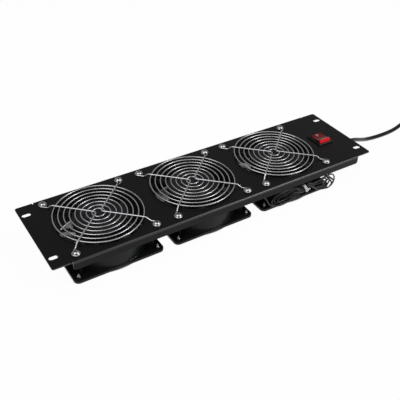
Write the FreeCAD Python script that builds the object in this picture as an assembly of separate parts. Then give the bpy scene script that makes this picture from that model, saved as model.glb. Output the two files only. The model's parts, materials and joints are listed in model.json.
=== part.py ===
import FreeCAD
import Part
import math
import os

V = FreeCAD.Vector

# Panel: a pressed steel plate with rack ears and two folded edges.
panel_length = 482.6
panel_width = 126.5
panel_thickness = 1.5
panel_corner_radius = 3.0
ear_length = 24.3
flange_depth = 11.3
flange_overhang = 1.65
flange_bend_radius = 2.0
flange_end_radius = 3.0
relief_width = 1.6
relief_depth = 2.4
rack_hole_end_gap = 8.75
rack_hole_spacing_y = 88.9
rack_slot_length = 11.5
rack_slot_width = 6.8

# Fans: three axial fans hung under the panel, lead strut to the front right.
fan_count = 3
fan_gap = 15.9
fan_middle_x = -20.5
fan_side_gap = 3.65
fan_depth = 38.5
fan_corner_radius = 6.5
fan_flange_thickness = 3.5
fan_hole_edge_gap = 7.25
barrel_edge_gap = 1.25
barrel_shell = 2.0
bore_flare = 1.3
bore_flare_depth = 3.0
panel_hole_clearance = 0.5
web_thickness = 2.0
web_reach = 10.5
rib_width = 1.6
rib_height = 1.4
rib_angle = 13.7
motor_skirt_wall = 1.7
hub_plate_thickness = 3.0
hub_plate_sink = 0.8
hub_groove_inset = 3.1
hub_groove_width = 0.8
hub_groove_depth = 0.4
strut_sink = 2.5
strut_depth = 4.9
strut_base_width = 4.6
strut_top_width = 1.4
lead_strut_angle = -52.0
strut_root_gap = 0.6
lead_strut_width = 11.0
lead_strut_depth = 5.6
lead_strut_sink = 2.3
lead_channel_clearance = 0.1

# Motor and impeller inside each fan.
bearing_radius = 5.5
bearing_width = 4.0
bearing_tube_wall = 2.0
shaft_radius = 2.0
shaft_clearance = 0.03
hub_radius = 31.0
hub_side_gap = 0.8
hub_wall = 2.0
hub_floor = 2.4
hub_edge_radius = 4.0
hub_floor_gap = 2.5
hub_top_gap = 1.7
hub_boss_radius = 5.0
hub_boss_height = 2.0
hub_boss_gap = 1.0
blade_count = 5
blade_tip_clearance = 1.0
blade_bottom_gap = 3.8
blade_top_gap = 1.5
blade_hub_chord = 30.0
blade_tip_chord = 47.0
blade_hub_pitch = 50.0
blade_tip_pitch = 31.0
blade_thickness = 1.8
blade_camber = 0.09
blade_tip_sweep = 12.0
rotor_ring_wall = 5.6
air_gap = 0.5
stator_height = 14.0
pole_count = 4
pole_neck_width = 8.0
pole_shoe_depth = 4.0
pole_slot_width = 2.0
yoke_wall = 4.0
coil_overhang = 3.0
coil_width = 4.0
coil_clearance = 0.1
rotor_rest_angles = (8.0, 27.0, 50.0)

# Wire finger guards on the panel's face.
guard_ring_count = 8
guard_ring_inset = 0.9
guard_inner_radius = 8.01
guard_ring_wire = 1.7
guard_leg_wire = 2.0
guard_ring_height = 3.85
guard_weld_depth = 0.15
guard_apex_offset = 2.3
guard_apex_radius = 4.0
guard_eyelet_radius = 4.3
guard_eyelet_turn = 285.0
guard_foot_length = 8.5
guard_rise_run = 6.0
guard_bend_radius = 2.5

# Screws: pan heads with a cross recess and a pointed tip.
screw_shank_radius = 2.15
screw_hole_clearance = 0.1
screw_head_radius = 4.4
screw_head_height = 2.4
screw_head_edge = 0.9
screw_recess_length = 4.6
screw_recess_width = 1.1
screw_recess_depth = 1.3
screw_tip_cone = 4.0
screw_tip_straight = 1.8

# Rocker switch near the right ear.
switch_fan_gap = 25.55
switch_y = -1.6
bezel_end_overlap = 1.1
bezel_side_overlap = 2.6
bezel_height = 2.0
bezel_edge = 0.8
bezel_corner_radius = 1.2
switch_wall = 0.9
switch_end_wall = 1.1
switch_body_depth = 16.0
switch_cavity_depth = 10.0
switch_panel_clearance = 0.1
rocker_width = 18.4
rocker_radius = 12.0
rocker_gap = 0.3
rocker_pivot_depth = 1.9
rocker_edge_angle = 56.0
rocker_skirt_angle = 80.0
rocker_swing = 7.5
rocker_dish = 1.7
rocker_foot_width = 10.0
rocker_foot_depth = 3.0
rocker_nib_radius = 1.6
rocker_nib_length = 2.2
trunnion_radius = 1.5
trunnion_length = 0.7
trunnion_clearance = 0.05
terminal_spacing_x = 10.6
terminal_spacing_y = 14.0
terminal_width = 6.3
terminal_thickness = 0.8
terminal_length = 7.0
terminal_root = 2.0
sleeve_length = 10.0
sleeve_wall = 1.3
sleeve_gap = 0.3

# Wiring under the panel.
lead_diameter = 3.0
core_diameter = 2.4
core_offset = 1.35
earth_lead_gap = 0.11
lead_rest_gap = 0.3
hank_shift = 1.4
hank_fan_gap = 0.15
hank_top = -14.5
hank_thickness = 4.8
hank_waist_half_height = 4.6
hank_waist_half_depth = 2.2
hank_waist_length = 17.0
tie_x = 8.0
tie_z = -21.5
tie_slope = 30.0
tie_band_thickness = 1.0
tie_band_width = 4.6
tie_band_clearance = 0.02
tie_head_length = 5.6
tie_head_height = 4.4
tie_tail_length = 10.0
tie_tail_thickness = 1.1
stud_switch_offset = 19.4
stud_y = -1.0
stud_radius = 2.0
stud_length = 9.0
nut_width = 7.0
nut_height = 3.2
ring_terminal_radius = 4.2
ring_terminal_thickness = 0.8
barrel_wall = 0.5
ring_terminal_barrel_length = 6.0
mount_base_size = 19.0
mount_base_thickness = 1.6
mount_saddle_height = 2.6
mount_saddle_width = 8.0

# Power cord, its coil and its plug.
cord_diameter = 6.4
cord_heading = 22.0
cord_anchor_offset = 4.8
cord_anchor_y = -30.0
cord_jacket_inside = 12.0
cord_exit_distance = 7.0
coil_offset_x = 231.0
coil_offset_y = 8.0
coil_middle_radius = 35.0
coil_bottom_turns = 4
coil_layer_rise = 6.5
plug_heading = -135.0
plug_body_length = 27.0
plug_body_width = 26.0
plug_body_height = 22.0
plug_neck_width = 14.0
plug_neck_height = 12.0
plug_relief_length = 24.0
plug_relief_sink = 5.0
plug_relief_end_radius = 4.4
plug_relief_start_radius = 5.6
plug_blade_spacing = 12.7
plug_blade_width = 6.35
plug_blade_thickness = 1.5
plug_blade_length = 17.8
plug_earth_radius = 2.4
plug_earth_length = 20.6
plug_earth_offset = 8.0
plug_blade_offset = 3.9
plug_edge_radius = 3.0

# Heights and places that the sizes above give; the rear screw heads stand on zero.
fan_bottom = screw_head_height
fan_top = fan_bottom + fan_depth
panel_top = fan_top + panel_thickness
flange_face = panel_width / 2 + flange_overhang
flange_inner = flange_face - panel_thickness
flange_length = panel_length - 2 * ear_length
rack_hole_x = panel_length / 2 - rack_hole_end_gap
fan_size = panel_width - 2 * (panel_thickness + fan_side_gap - flange_overhang)
fan_pitch = fan_size + fan_gap
barrel_radius = fan_size / 2 - barrel_edge_gap
bore_radius = barrel_radius - barrel_shell
panel_fan_hole_radius = bore_radius + panel_hole_clearance
web_outer_radius = barrel_radius + web_reach
guard_ring_radius = panel_fan_hole_radius - guard_ring_inset
guard_ring_pitch = (guard_ring_radius - guard_inner_radius) / (guard_ring_count - 1)
top_flange_under = fan_top - fan_flange_thickness
bottom_flange_top = fan_bottom + fan_flange_thickness
lead_radius = lead_diameter / 2
core_radius = core_diameter / 2
cord_radius = cord_diameter / 2
screw_hole_radius = screw_shank_radius + screw_hole_clearance
hole_offset = fan_size / 2 - fan_hole_edge_gap
hub_plate_top = fan_top - hub_plate_sink
hub_plate_under = hub_plate_top - hub_plate_thickness
hub_bottom = fan_bottom + hub_floor_gap
hub_top = hub_plate_under - hub_top_gap
lead_strut_top = fan_top - lead_strut_sink
lead_strut_under = lead_strut_top - lead_strut_depth
lead_level = top_flange_under - lead_rest_gap - lead_radius
tube_radius = bearing_radius + bearing_tube_wall
tube_bottom = hub_bottom + hub_floor + hub_boss_height + hub_boss_gap
hub_clear_radius = hub_radius + hub_side_gap
hub_plate_radius = hub_clear_radius + motor_skirt_wall
hub_groove_radius = hub_plate_radius - hub_groove_inset
stator_middle = (hub_bottom + hub_floor + hub_top) / 2
fan_centres = [fan_middle_x + fan_pitch * (i - (fan_count - 1) / 2) for i in range(fan_count)]
switch_x = fan_centres[-1] + fan_size / 2 + switch_fan_gap
bezel_length = 2 * (rocker_radius + rocker_gap + switch_end_wall + bezel_end_overlap)
bezel_width = rocker_width + 2 * (rocker_gap + switch_wall + bezel_side_overlap)
hank_plane = -(fan_size / 2 + hank_fan_gap + hank_thickness / 2)
stud_x = switch_x - stud_switch_offset
cord_anchor_x = switch_x + cord_anchor_offset
coil_x = cord_anchor_x + coil_offset_x
coil_y = cord_anchor_y + coil_offset_y


def box(x0, y0, z0, x1, y1, z1):
    return Part.makeBox(x1 - x0, y1 - y0, z1 - z0, V(x0, y0, z0))


def cylinder(x, y, z0, z1, radius):
    return Part.makeCylinder(radius, z1 - z0, V(x, y, z0))


def ring(x, y, z0, z1, outer, inner):
    return cylinder(x, y, z0, z1, outer).cut(cylinder(x, y, z0, z1, inner))


def turned(shape, x, y, degrees):
    copy = shape.copy()
    copy.rotate(V(x, y, 0), V(0, 0, 1), degrees)
    return copy


def rounded_block(x, y, z0, z1, length, width, radius):
    """Upright block with its four vertical edges rounded."""
    block = box(x - length / 2, y - width / 2, z0, x + length / 2, y + width / 2, z1)
    upright = [e for e in block.Edges if abs(e.BoundBox.ZLength - (z1 - z0)) < 0.001]
    limit = min(length, width) / 2 * 0.98
    return block.makeFillet(min(radius, limit), upright)


def outline(points, radii):
    """Closed or open run of straight lines whose listed corners are tangent arcs."""
    edges = []
    last = points[0]
    for i in range(1, len(points) - 1):
        back = points[i - 1].sub(points[i])
        ahead = points[i + 1].sub(points[i])
        half_turn = (math.pi - back.getAngle(ahead)) / 2
        cut = radii[i - 1] * math.tan(half_turn)
        back.normalize()
        ahead.normalize()
        middle = back.add(ahead).normalize()
        reach = radii[i - 1] / math.cos(half_turn) - radii[i - 1]
        first = points[i].add(back.multiply(cut))
        second = points[i].add(ahead.multiply(cut))
        edges.append(Part.LineSegment(last, first).toShape())
        edges.append(Part.Arc(first, points[i].add(middle.multiply(reach)), second).toShape())
        last = second
    edges.append(Part.LineSegment(last, points[-1]).toShape())
    return edges


def route_radii(points):
    """Largest arc at each corner: 0.45 of the shorter run beside it."""
    radii = []
    for i in range(1, len(points) - 1):
        back = points[i - 1].sub(points[i])
        ahead = points[i + 1].sub(points[i])
        half_turn = (math.pi - back.getAngle(ahead)) / 2
        radii.append(0.45 * min(back.Length, ahead.Length) / math.tan(half_turn))
    return radii


def wire_tube(edges, radius):
    """Round tube along a chain of tangent edges."""
    path = Part.Wire(edges)
    start = path.Edges[0].valueAt(path.Edges[0].FirstParameter)
    heading = path.Edges[0].tangentAt(path.Edges[0].FirstParameter)
    profile = Part.Wire(Part.Circle(start, heading, radius).toShape())
    return path.makePipeShell([profile], True, False)


def cable(name, points, radius):
    """Tube of a lead or cord; prints its length, tightest arc and volume check."""
    radii = route_radii(points)
    edges = outline(points, radii)
    length = sum(e.Length for e in edges)
    tube = wire_tube(edges, radius)
    share = tube.Volume / (math.pi * radius ** 2 * length)
    print(f"{name}: length {length:.0f}, smallest arc {min(radii):.1f}, volume share {share:.4f}")
    return tube


def joined(shapes):
    return shapes[0].multiFuse(shapes[1:]).removeSplitter()


# Panel
def panel_section():
    """Section across the panel between its folded edges."""
    low = panel_top - flange_depth
    under = panel_top - panel_thickness
    inner_bend = flange_bend_radius - panel_thickness
    outer = [V(0, 0, panel_top), V(0, flange_face, panel_top), V(0, flange_face, low)]
    inner = [V(0, flange_inner, low), V(0, flange_inner, under), V(0, 0, under)]
    right = outline(outer, [flange_bend_radius]) + [Part.LineSegment(outer[-1], inner[0]).toShape()]
    right += outline(inner, [inner_bend])
    half = Part.Face(Part.Wire(right + [Part.LineSegment(inner[-1], outer[0]).toShape()]))
    return half.fuse(half.mirror(V(0, 0, 0), V(0, 1, 0))).removeSplitter()


def flange_corner(side, end):
    """Waste outside the rounded lower corner of a folded edge."""
    size = flange_end_radius
    x = end * flange_length / 2
    z = panel_top - flange_depth
    corner = box(min(x, x - end * size), -1, z, max(x, x - end * size), panel_thickness + 3, z + size)
    corner.translate(V(0, side * flange_face - (panel_thickness + 2) / 2, 0))
    disc = Part.makeCylinder(size, 2 * panel_thickness + 8, V(x - end * size, 0, z + size), V(0, 1, 0))
    disc.translate(V(0, side * flange_face - panel_thickness - 4, 0))
    return corner.cut(disc)


def rack_slot(x, y):
    half = (rack_slot_length - rack_slot_width) / 2
    low = panel_top - 2 * panel_thickness
    high = panel_top + panel_thickness
    ends = [cylinder(x + s * half, y, low, high, rack_slot_width / 2) for s in (-1, 1)]
    middle = box(x - half, y - rack_slot_width / 2, low, x + half, y + rack_slot_width / 2, high)
    return joined(ends + [middle])


def switch_cutout():
    length = 2 * (rocker_radius + rocker_gap + switch_end_wall + switch_panel_clearance)
    width = rocker_width + 2 * (rocker_gap + switch_wall + switch_panel_clearance)
    return box(switch_x - width / 2, switch_y - length / 2, fan_top - 1,
               switch_x + width / 2, switch_y + length / 2, panel_top + 1)


def panel():
    plate = rounded_block(0, 0, fan_top, panel_top, panel_length, panel_width, panel_corner_radius)
    channel = panel_section().extrude(V(flange_length, 0, 0))
    channel.translate(V(-flange_length / 2, 0, 0))
    body = plate.fuse(channel).removeSplitter()
    waste = []
    for end in (-1, 1):
        for side in (-1, 1):
            waste.append(flange_corner(side, end))
            x = end * (flange_length / 2 + relief_width / 2)
            y = side * panel_width / 2
            waste.append(box(x - relief_width / 2, y - relief_depth, fan_top - 1,
                             x + relief_width / 2, y + relief_depth, panel_top + 1))
            waste.append(rack_slot(end * rack_hole_x, side * rack_hole_spacing_y / 2))
    for x in fan_centres:
        waste.append(cylinder(x, 0, fan_top - 1, panel_top + 1, panel_fan_hole_radius))
        for sx, sy in corner_signs():
            waste.append(cylinder(x + sx * hole_offset, sy * hole_offset, fan_top - 1,
                                  panel_top + 1, screw_hole_radius))
    waste.append(switch_cutout())
    return body.cut(waste)


def corner_signs():
    return [(-1, 1), (1, 1), (-1, -1), (1, -1)]


# Fan frame
def diagonal_web(x):
    """Web from the barrel towards one screw hole, between the two flanges."""
    web = box(x + bore_radius + 1, -web_thickness / 2, bottom_flange_top - 1,
              x + web_outer_radius, web_thickness / 2, top_flange_under + 1)
    return web


def barrel_rib(x):
    return box(x + barrel_radius - 1, -rib_width / 2, bottom_flange_top - 1,
               x + barrel_radius + rib_height, rib_width / 2, top_flange_under + 1)


def narrow_strut(x):
    """Arm from the motor plate to the barrel, with a narrow ridge on top."""
    top = fan_top - strut_sink
    low = top - strut_depth
    points = [V(x, -strut_base_width / 2, low), V(x, strut_base_width / 2, low),
              V(x, strut_top_width / 2, top), V(x, -strut_top_width / 2, top)]
    face = Part.Face(Part.makePolygon(points + [points[0]]))
    arm = face.extrude(V(bore_radius + 1 - hub_clear_radius - strut_root_gap, 0, 0))
    arm.translate(V(hub_clear_radius + strut_root_gap, 0, 0))
    return arm


def lead_strut(x):
    """Broad arm with a channel on top where the leads cross the air path."""
    return box(x + hub_clear_radius + strut_root_gap, -lead_strut_width / 2, lead_strut_under,
               x + bore_radius + 1, lead_strut_width / 2, lead_strut_top)


def lead_channel(x):
    half = lead_radius + lead_channel_clearance
    floor_level = lead_level - half
    open_part = box(x + hub_plate_radius + 0.5, -half, floor_level,
                    x + bore_radius, half, lead_strut_top + 1)
    hole = Part.makeCylinder(half, barrel_radius - bore_radius + 4,
                             V(x + bore_radius - 2, 0, lead_level), V(1, 0, 0))
    return open_part.fuse(hole)


def motor_plate(x):
    plate = cylinder(x, 0, hub_plate_under, hub_plate_top, hub_plate_radius)
    groove = ring(x, 0, hub_plate_top - hub_groove_depth, hub_plate_top + 1,
                  hub_groove_radius, hub_groove_radius - hub_groove_width)
    tube = ring(x, 0, tube_bottom, hub_plate_under, tube_radius, bearing_radius)
    skirt = ring(x, 0, lead_strut_under, hub_plate_under, hub_plate_radius, hub_clear_radius)
    return plate.cut(groove).multiFuse([tube, skirt])


def fan_frame(x):
    body = [rounded_block(x, 0, z, z + fan_flange_thickness, fan_size, fan_size, fan_corner_radius)
            for z in (fan_bottom, top_flange_under)]
    body.append(cylinder(x, 0, fan_bottom, fan_top, barrel_radius))
    for i in range(4):
        angle = 45 + 90 * i
        body.append(turned(diagonal_web(x), x, 0, angle))
        body += [turned(barrel_rib(x), x, 0, angle + s * rib_angle) for s in (-1, 1)]
    shell = body[0].multiFuse(body[1:])
    flare = Part.makeCone(bore_radius, bore_radius + bore_flare, bore_flare_depth,
                          V(x, 0, fan_top - bore_flare_depth))
    low_flare = Part.makeCone(bore_radius + bore_flare, bore_radius, bore_flare_depth,
                              V(x, 0, fan_bottom))
    waste = [cylinder(x, 0, fan_bottom - 1, fan_top + 1, bore_radius), flare, low_flare]
    for sx, sy in corner_signs():
        waste.append(cylinder(x + sx * hole_offset, sy * hole_offset, fan_bottom - 1,
                              fan_top + 1, screw_hole_radius))
    shell = shell.cut(waste)
    arms = [turned(narrow_strut(x), x, 0, angle) for angle in (45, 135, 225)]
    arms.append(turned(lead_strut(x), x, 0, lead_strut_angle))
    frame = shell.multiFuse(arms + [motor_plate(x)])
    channel = turned(lead_channel(x), x, 0, lead_strut_angle)
    return frame.cut(channel).removeSplitter()


# Impeller and motor
def blade_section(radius, chord, pitch):
    """Cambered two-arc section in the plane square to one radius."""
    pitch = math.radians(pitch)
    rise = chord * math.sin(pitch)
    lead = V(radius, -chord / 2 * math.cos(pitch), -rise / 2)
    trail = V(radius, chord / 2 * math.cos(pitch), rise / 2)
    normal = V(0, -math.sin(pitch), math.cos(pitch))
    high = chord * blade_camber + blade_thickness / 2
    low = chord * blade_camber - blade_thickness / 2
    upper = Part.Arc(lead, V(radius, 0, 0).add(V(normal).multiply(high)), trail).toShape()
    lower = Part.Arc(trail, V(radius, 0, 0).add(V(normal).multiply(low)), lead).toShape()
    return Part.Wire([upper, lower])


def blade(x):
    """One blade lofted from hub to tip and trimmed to a round tip."""
    tip = bore_radius - blade_tip_clearance
    root = hub_radius - 3
    stations = 4
    height = hub_top - hub_bottom
    sections = []
    for i in range(stations):
        share = i / (stations - 1)
        radius = root + (tip + 2 - root) * share
        chord = blade_hub_chord + (blade_tip_chord - blade_hub_chord) * share
        pitch = blade_hub_pitch + (blade_tip_pitch - blade_hub_pitch) * share
        wire = blade_section(radius, chord, pitch)
        wire.rotate(V(0, 0, 0), V(0, 0, 1), blade_tip_sweep * share ** 2)
        sections.append(wire)
    body = Part.makeLoft(sections, True, False)
    low = fan_bottom + blade_bottom_gap
    middle = low + blade_hub_chord * math.sin(math.radians(blade_hub_pitch)) / 2
    body.translate(V(x, 0, middle + (height - 2 * (middle - hub_bottom)) * 0.08))
    sleeve = ring(x, 0, low, lead_strut_under - blade_top_gap, tip, hub_radius - hub_wall / 2)
    return body.common(sleeve)


def impeller(x, rest_angle):
    cup = cylinder(x, 0, hub_bottom, hub_top, hub_radius)
    low_rim = [e for e in cup.Edges if abs(e.BoundBox.ZMax - hub_bottom) < 0.001]
    cup = cup.makeFillet(hub_edge_radius, low_rim)
    cup = cup.cut(cylinder(x, 0, hub_bottom + hub_floor, hub_top + 1, hub_radius - hub_wall))
    boss = cylinder(x, 0, hub_bottom, hub_bottom + hub_floor + hub_boss_height, hub_boss_radius)
    blades = [turned(blade(x), x, 0, 360 / blade_count * i) for i in range(blade_count)]
    wheel = cup.multiFuse([boss] + blades)
    wheel = wheel.cut(cylinder(x, 0, hub_bottom - 1, hub_top, shaft_radius))
    return turned(wheel, x, 0, rest_angle)


def shaft(x):
    return cylinder(x, 0, hub_bottom, hub_plate_under - 0.5, shaft_radius)


def bearings(x):
    rings = [ring(x, 0, z, z + bearing_width, bearing_radius, shaft_radius + shaft_clearance)
             for z in (tube_bottom, hub_plate_under - 1 - bearing_width)]
    return Part.makeCompound(rings)


def rotor_ring(x):
    outer = hub_radius - hub_wall
    half = stator_height / 2 + 1
    return ring(x, 0, stator_middle - half, stator_middle + half, outer, outer - rotor_ring_wall)


def stator_radius():
    return hub_radius - hub_wall - rotor_ring_wall - air_gap


def stator_core(x):
    """Laminated core: a yoke round the bearing tube and T-shaped poles."""
    low = stator_middle - stator_height / 2
    high = stator_middle + stator_height / 2
    outer = stator_radius()
    yoke = tube_radius + yoke_wall
    parts = [cylinder(x, 0, low, high, yoke)]
    shoes = ring(x, 0, low, high, outer, outer - pole_shoe_depth)
    for i in range(pole_count):
        neck = box(x + tube_radius, -pole_neck_width / 2, low, x + outer - 1, pole_neck_width / 2, high)
        parts.append(turned(neck, x, 0, 360 / pole_count * i))
    gaps = []
    for i in range(pole_count):
        gap = box(x, -pole_slot_width / 2, low - 1, x + outer + 1, pole_slot_width / 2, high + 1)
        gaps.append(turned(gap, x, 0, 360 / pole_count * (i + 0.5)))
    core = parts[0].multiFuse(parts[1:] + [shoes.cut(gaps)])
    return core.cut(cylinder(x, 0, low - 1, high + 1, tube_radius)).removeSplitter()


def windings(x):
    """One coil round the neck of each pole."""
    half = stator_height / 2
    inner = tube_radius + yoke_wall + 2 * coil_clearance
    outer = stator_radius() - pole_shoe_depth - 4 * coil_clearance
    neck = pole_neck_width / 2
    body = box(x + inner, -neck - coil_width, stator_middle - half - coil_overhang,
               x + outer, neck + coil_width, stator_middle + half + coil_overhang)
    hole = box(x + inner - 1, -neck, stator_middle - half, x + outer + 1, neck, stator_middle + half)
    reach = ring(x, 0, stator_middle - stator_height, stator_middle + stator_height,
                 stator_radius() - pole_shoe_depth - 2 * coil_clearance, 1)
    coil = body.cut(hole).common(reach)
    return Part.makeCompound([turned(coil, x, 0, 360 / pole_count * i) for i in range(pole_count)])


# Finger guards
def meeting_angle(centre, apex, side):
    """Direction, seen from an eyelet's middle, in which the leg touches it."""
    away = math.hypot(apex.x - centre.x, apex.y - centre.y)
    lean = math.acos(guard_eyelet_radius / away)
    return math.atan2(apex.y - centre.y, apex.x - centre.x) - side * lean


def on_eyelet(centre, angle):
    return V(centre.x + guard_eyelet_radius * math.cos(angle),
             centre.y + guard_eyelet_radius * math.sin(angle), centre.z)


def guard_leg():
    """Wire from one eyelet, over the rings to the apex, and back out to the next."""
    low = panel_top + guard_leg_wire / 2
    high = panel_top + guard_ring_height + (guard_ring_wire + guard_leg_wire) / 2 - guard_weld_depth
    apex = V(-guard_apex_offset, 0, low)
    turn = math.radians(guard_eyelet_turn)
    edges = []
    points = []
    for side in (1, -1):
        centre = V(-hole_offset, side * hole_offset, low)
        start = meeting_angle(centre, apex, side)
        meet = on_eyelet(centre, start)
        arc = [meet, on_eyelet(centre, start - side * turn / 2), on_eyelet(centre, start - side * turn)]
        inward = apex.sub(meet).normalize()
        crest = meet.add(V(inward).multiply(guard_foot_length + guard_rise_run))
        crest.z = high
        leg = [meet, meet.add(V(inward).multiply(guard_foot_length)), crest]
        if side == 1:
            edges.append(Part.Arc(*arc[::-1]).toShape())
            points = leg + [V(apex.x, apex.y, high)]
        else:
            points += leg[::-1]
            closing = Part.Arc(*arc).toShape()
    bends = [guard_bend_radius] * 2 + [guard_apex_radius] + [guard_bend_radius] * 2
    return wire_tube(edges + outline(points, bends) + [closing], guard_leg_wire / 2)


def finger_guard(x):
    level = panel_top + guard_ring_height
    rings = [Part.makeTorus(guard_ring_radius - guard_ring_pitch * i, guard_ring_wire / 2, V(0, 0, level))
             for i in range(guard_ring_count)]
    leg = guard_leg()
    guard = leg.multiFuse(rings + [turned(leg, 0, 0, 180)])
    guard.translate(V(x, 0, 0))
    return guard


# Screws
def screw(grip):
    """Pan-head screw on the Z axis, head above zero; grip is what it holds."""
    top = screw_head_height
    profile = [V(0, 0, 0), V(screw_head_radius, 0, 0), V(screw_head_radius, 0, screw_head_edge)]
    dome = Part.Arc(profile[2], V(screw_head_radius * 0.72, 0, top * 0.83), V(0, 0, top)).toShape()
    edges = [Part.LineSegment(profile[0], profile[1]).toShape(),
             Part.LineSegment(profile[1], profile[2]).toShape(), dome,
             Part.LineSegment(V(0, 0, top), profile[0]).toShape()]
    head = Part.Face(Part.Wire(edges)).revolve(V(0, 0, 0), V(0, 0, 1), 360)
    long = screw_recess_length
    narrow = screw_recess_width
    arms = [box(-a / 2, -b / 2, top - screw_recess_depth, a / 2, b / 2, top + 1)
            for a, b in ((long, narrow), (narrow, long))]
    straight = grip + screw_tip_straight
    shank = cylinder(0, 0, -straight, 0, screw_shank_radius)
    tip = Part.makeCone(0.2, screw_shank_radius, screw_tip_cone, V(0, 0, -straight - screw_tip_cone))
    return head.cut(arms).multiFuse([shank, tip]).removeSplitter()


def screw_set(grip, level, upright):
    one = screw(grip)
    if not upright:
        one.rotate(V(0, 0, 0), V(1, 0, 0), 180)
    screws = []
    for x in fan_centres:
        for sx, sy in corner_signs():
            copy = one.copy()
            copy.translate(V(x + sx * hole_offset, sy * hole_offset, level))
            screws.append(copy)
    return Part.makeCompound(screws)


# Rocker switch
def switch_size():
    length = 2 * (rocker_radius + rocker_gap + switch_end_wall)
    width = rocker_width + 2 * (rocker_gap + switch_wall)
    return length, width


def terminal_places():
    return [(switch_x + sx * terminal_spacing_x / 2, switch_y + sy * terminal_spacing_y / 2)
            for sy in (1, -1) for sx in (-1, 1)]


def terminal(x, y):
    low = panel_top - switch_body_depth - terminal_length
    high = panel_top - switch_body_depth + terminal_root
    return box(x - terminal_width / 2, y - terminal_thickness / 2, low,
               x + terminal_width / 2, y + terminal_thickness / 2, high)


def switch_housing():
    length, width = switch_size()
    bezel = rounded_block(switch_x, switch_y, panel_top, panel_top + bezel_height,
                          bezel_width, bezel_length, bezel_corner_radius)
    rim = [e for e in bezel.Edges if e.BoundBox.ZMin > panel_top + bezel_height - 0.001]
    bezel = bezel.makeChamfer(bezel_edge, rim)
    body = box(switch_x - width / 2, switch_y - length / 2, panel_top - switch_body_depth,
               switch_x + width / 2, switch_y + length / 2, panel_top)
    opening_half = rocker_width / 2 + rocker_gap
    end_half = rocker_radius + rocker_gap
    cavity = box(switch_x - opening_half, switch_y - end_half, panel_top - switch_cavity_depth,
                 switch_x + opening_half, switch_y + end_half, panel_top + bezel_height + 1)
    reach = rocker_width / 2 + trunnion_length + rocker_gap / 3
    pivots = Part.makeCylinder(trunnion_radius + trunnion_clearance, 2 * reach,
                               V(switch_x - reach, switch_y, panel_top - rocker_pivot_depth), V(1, 0, 0))
    terminals = [terminal(x, y) for x, y in terminal_places()]
    return bezel.fuse(body).removeSplitter().cut([cavity, pivots] + terminals)


def rocker():
    """Dished key on two trunnions, its rear end pressed down in the off position."""
    def on_rim(degrees):
        angle = math.radians(degrees)
        return V(0, rocker_radius * math.sin(angle), rocker_radius * math.cos(angle))

    edge = rocker_edge_angle
    skirt = rocker_skirt_angle
    dish = V(0, 0, on_rim(edge).z - rocker_dish)
    foot = [V(0, s * rocker_foot_width / 2, -rocker_foot_depth) for s in (1, -1)]
    edges = [Part.Arc(on_rim(-edge), dish, on_rim(edge)).toShape(),
             Part.Arc(on_rim(edge), on_rim((edge + skirt) / 2), on_rim(skirt)).toShape(),
             Part.LineSegment(on_rim(skirt), foot[0]).toShape(),
             Part.LineSegment(foot[0], foot[1]).toShape(),
             Part.LineSegment(foot[1], on_rim(-skirt)).toShape(),
             Part.Arc(on_rim(-skirt), on_rim(-(edge + skirt) / 2), on_rim(-edge)).toShape()]
    key = Part.Face(Part.Wire(edges)).extrude(V(rocker_width, 0, 0))
    key.translate(V(-rocker_width / 2, 0, 0))
    reach = rocker_width / 2 + trunnion_length
    pin = Part.makeCylinder(trunnion_radius, 2 * reach, V(-reach, 0, 0), V(1, 0, 0))
    nib = cylinder(0, 0, -rocker_foot_depth - rocker_nib_length, -rocker_foot_depth + 1, rocker_nib_radius)
    key = key.multiFuse([pin, nib]).removeSplitter()
    key.rotate(V(0, 0, 0), V(1, 0, 0), -rocker_swing)
    key.translate(V(switch_x, switch_y, panel_top - rocker_pivot_depth))
    return key


def sleeve_bottom():
    return panel_top - switch_body_depth - sleeve_gap - sleeve_length


def terminal_sleeves():
    sleeves = []
    for x, y in terminal_places():
        block = rounded_block(x, y, sleeve_bottom(), sleeve_bottom() + sleeve_length,
                              terminal_width + 2 * sleeve_wall, terminal_thickness + 3 * sleeve_wall, 1.2)
        sleeves.append(block.cut(terminal(x, y)))
    return Part.makeCompound(sleeves)


# Wiring
def lead_track():
    """Middle of the space between the fans' front edges and the front fold."""
    return -(fan_size / 2 + flange_inner) / 2


def fan_leads(index):
    """Leads from a motor, along the front fold, to the tied hank."""
    x = fan_centres[index]
    angle = math.radians(lead_strut_angle)
    out = V(math.cos(angle), math.sin(angle), 0)
    centre = V(x, 0, lead_level)
    start = centre.add(V(out).multiply(hub_plate_radius + 1))
    wall = centre.add(V(out).multiply(barrel_radius + 3))
    track = lead_track()
    if index == fan_count - 1:
        edge = fan_size / 2
        points = [start, V(wall.x - 9, wall.y + 11.5, lead_level),
                  centre.add(V(out).multiply(barrel_radius + 5)),
                  V(x + edge - 15.75, -edge + 3.15, lead_level - 2.6),
                  V(x + edge - 13.45, -edge - 1.85, lead_level - 8.8)]
        return cable("fan_3_leads", points, lead_radius).cut(lead_hank())
    level = lead_level - (fan_count - 2 - index) * (lead_diameter + lead_rest_gap)
    turn = V(wall.x + 7.5, track + 1.2, level)
    points = [start, V(wall.x - 9, wall.y + 11.5, lead_level), wall, turn]
    stop = fan_centres[-1] - 34 - 16 * (fan_count - 2 - index)
    runs = math.ceil((stop - turn.x - 12) / 55)
    for i in range(runs):
        sway = 0.2 if i % 2 else -0.2
        points.append(V(turn.x + 12 + (stop - turn.x - 12) * i / runs, track + sway, level - abs(sway)))
    points += [V(stop, track, level), V(stop + 12, track - 0.1, level - 2.5),
               V(stop + 20, hank_plane, panel_top + hank_top - 2.5)]
    return cable(f"fan_{index + 1}_leads", points, lead_radius).cut(lead_hank())


def hank_point(x, z):
    """Point of the hank's plane, from the middle of the last fan and the panel's face."""
    return V(fan_centres[-1] + hank_shift + x, hank_plane, panel_top + z)


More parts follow.
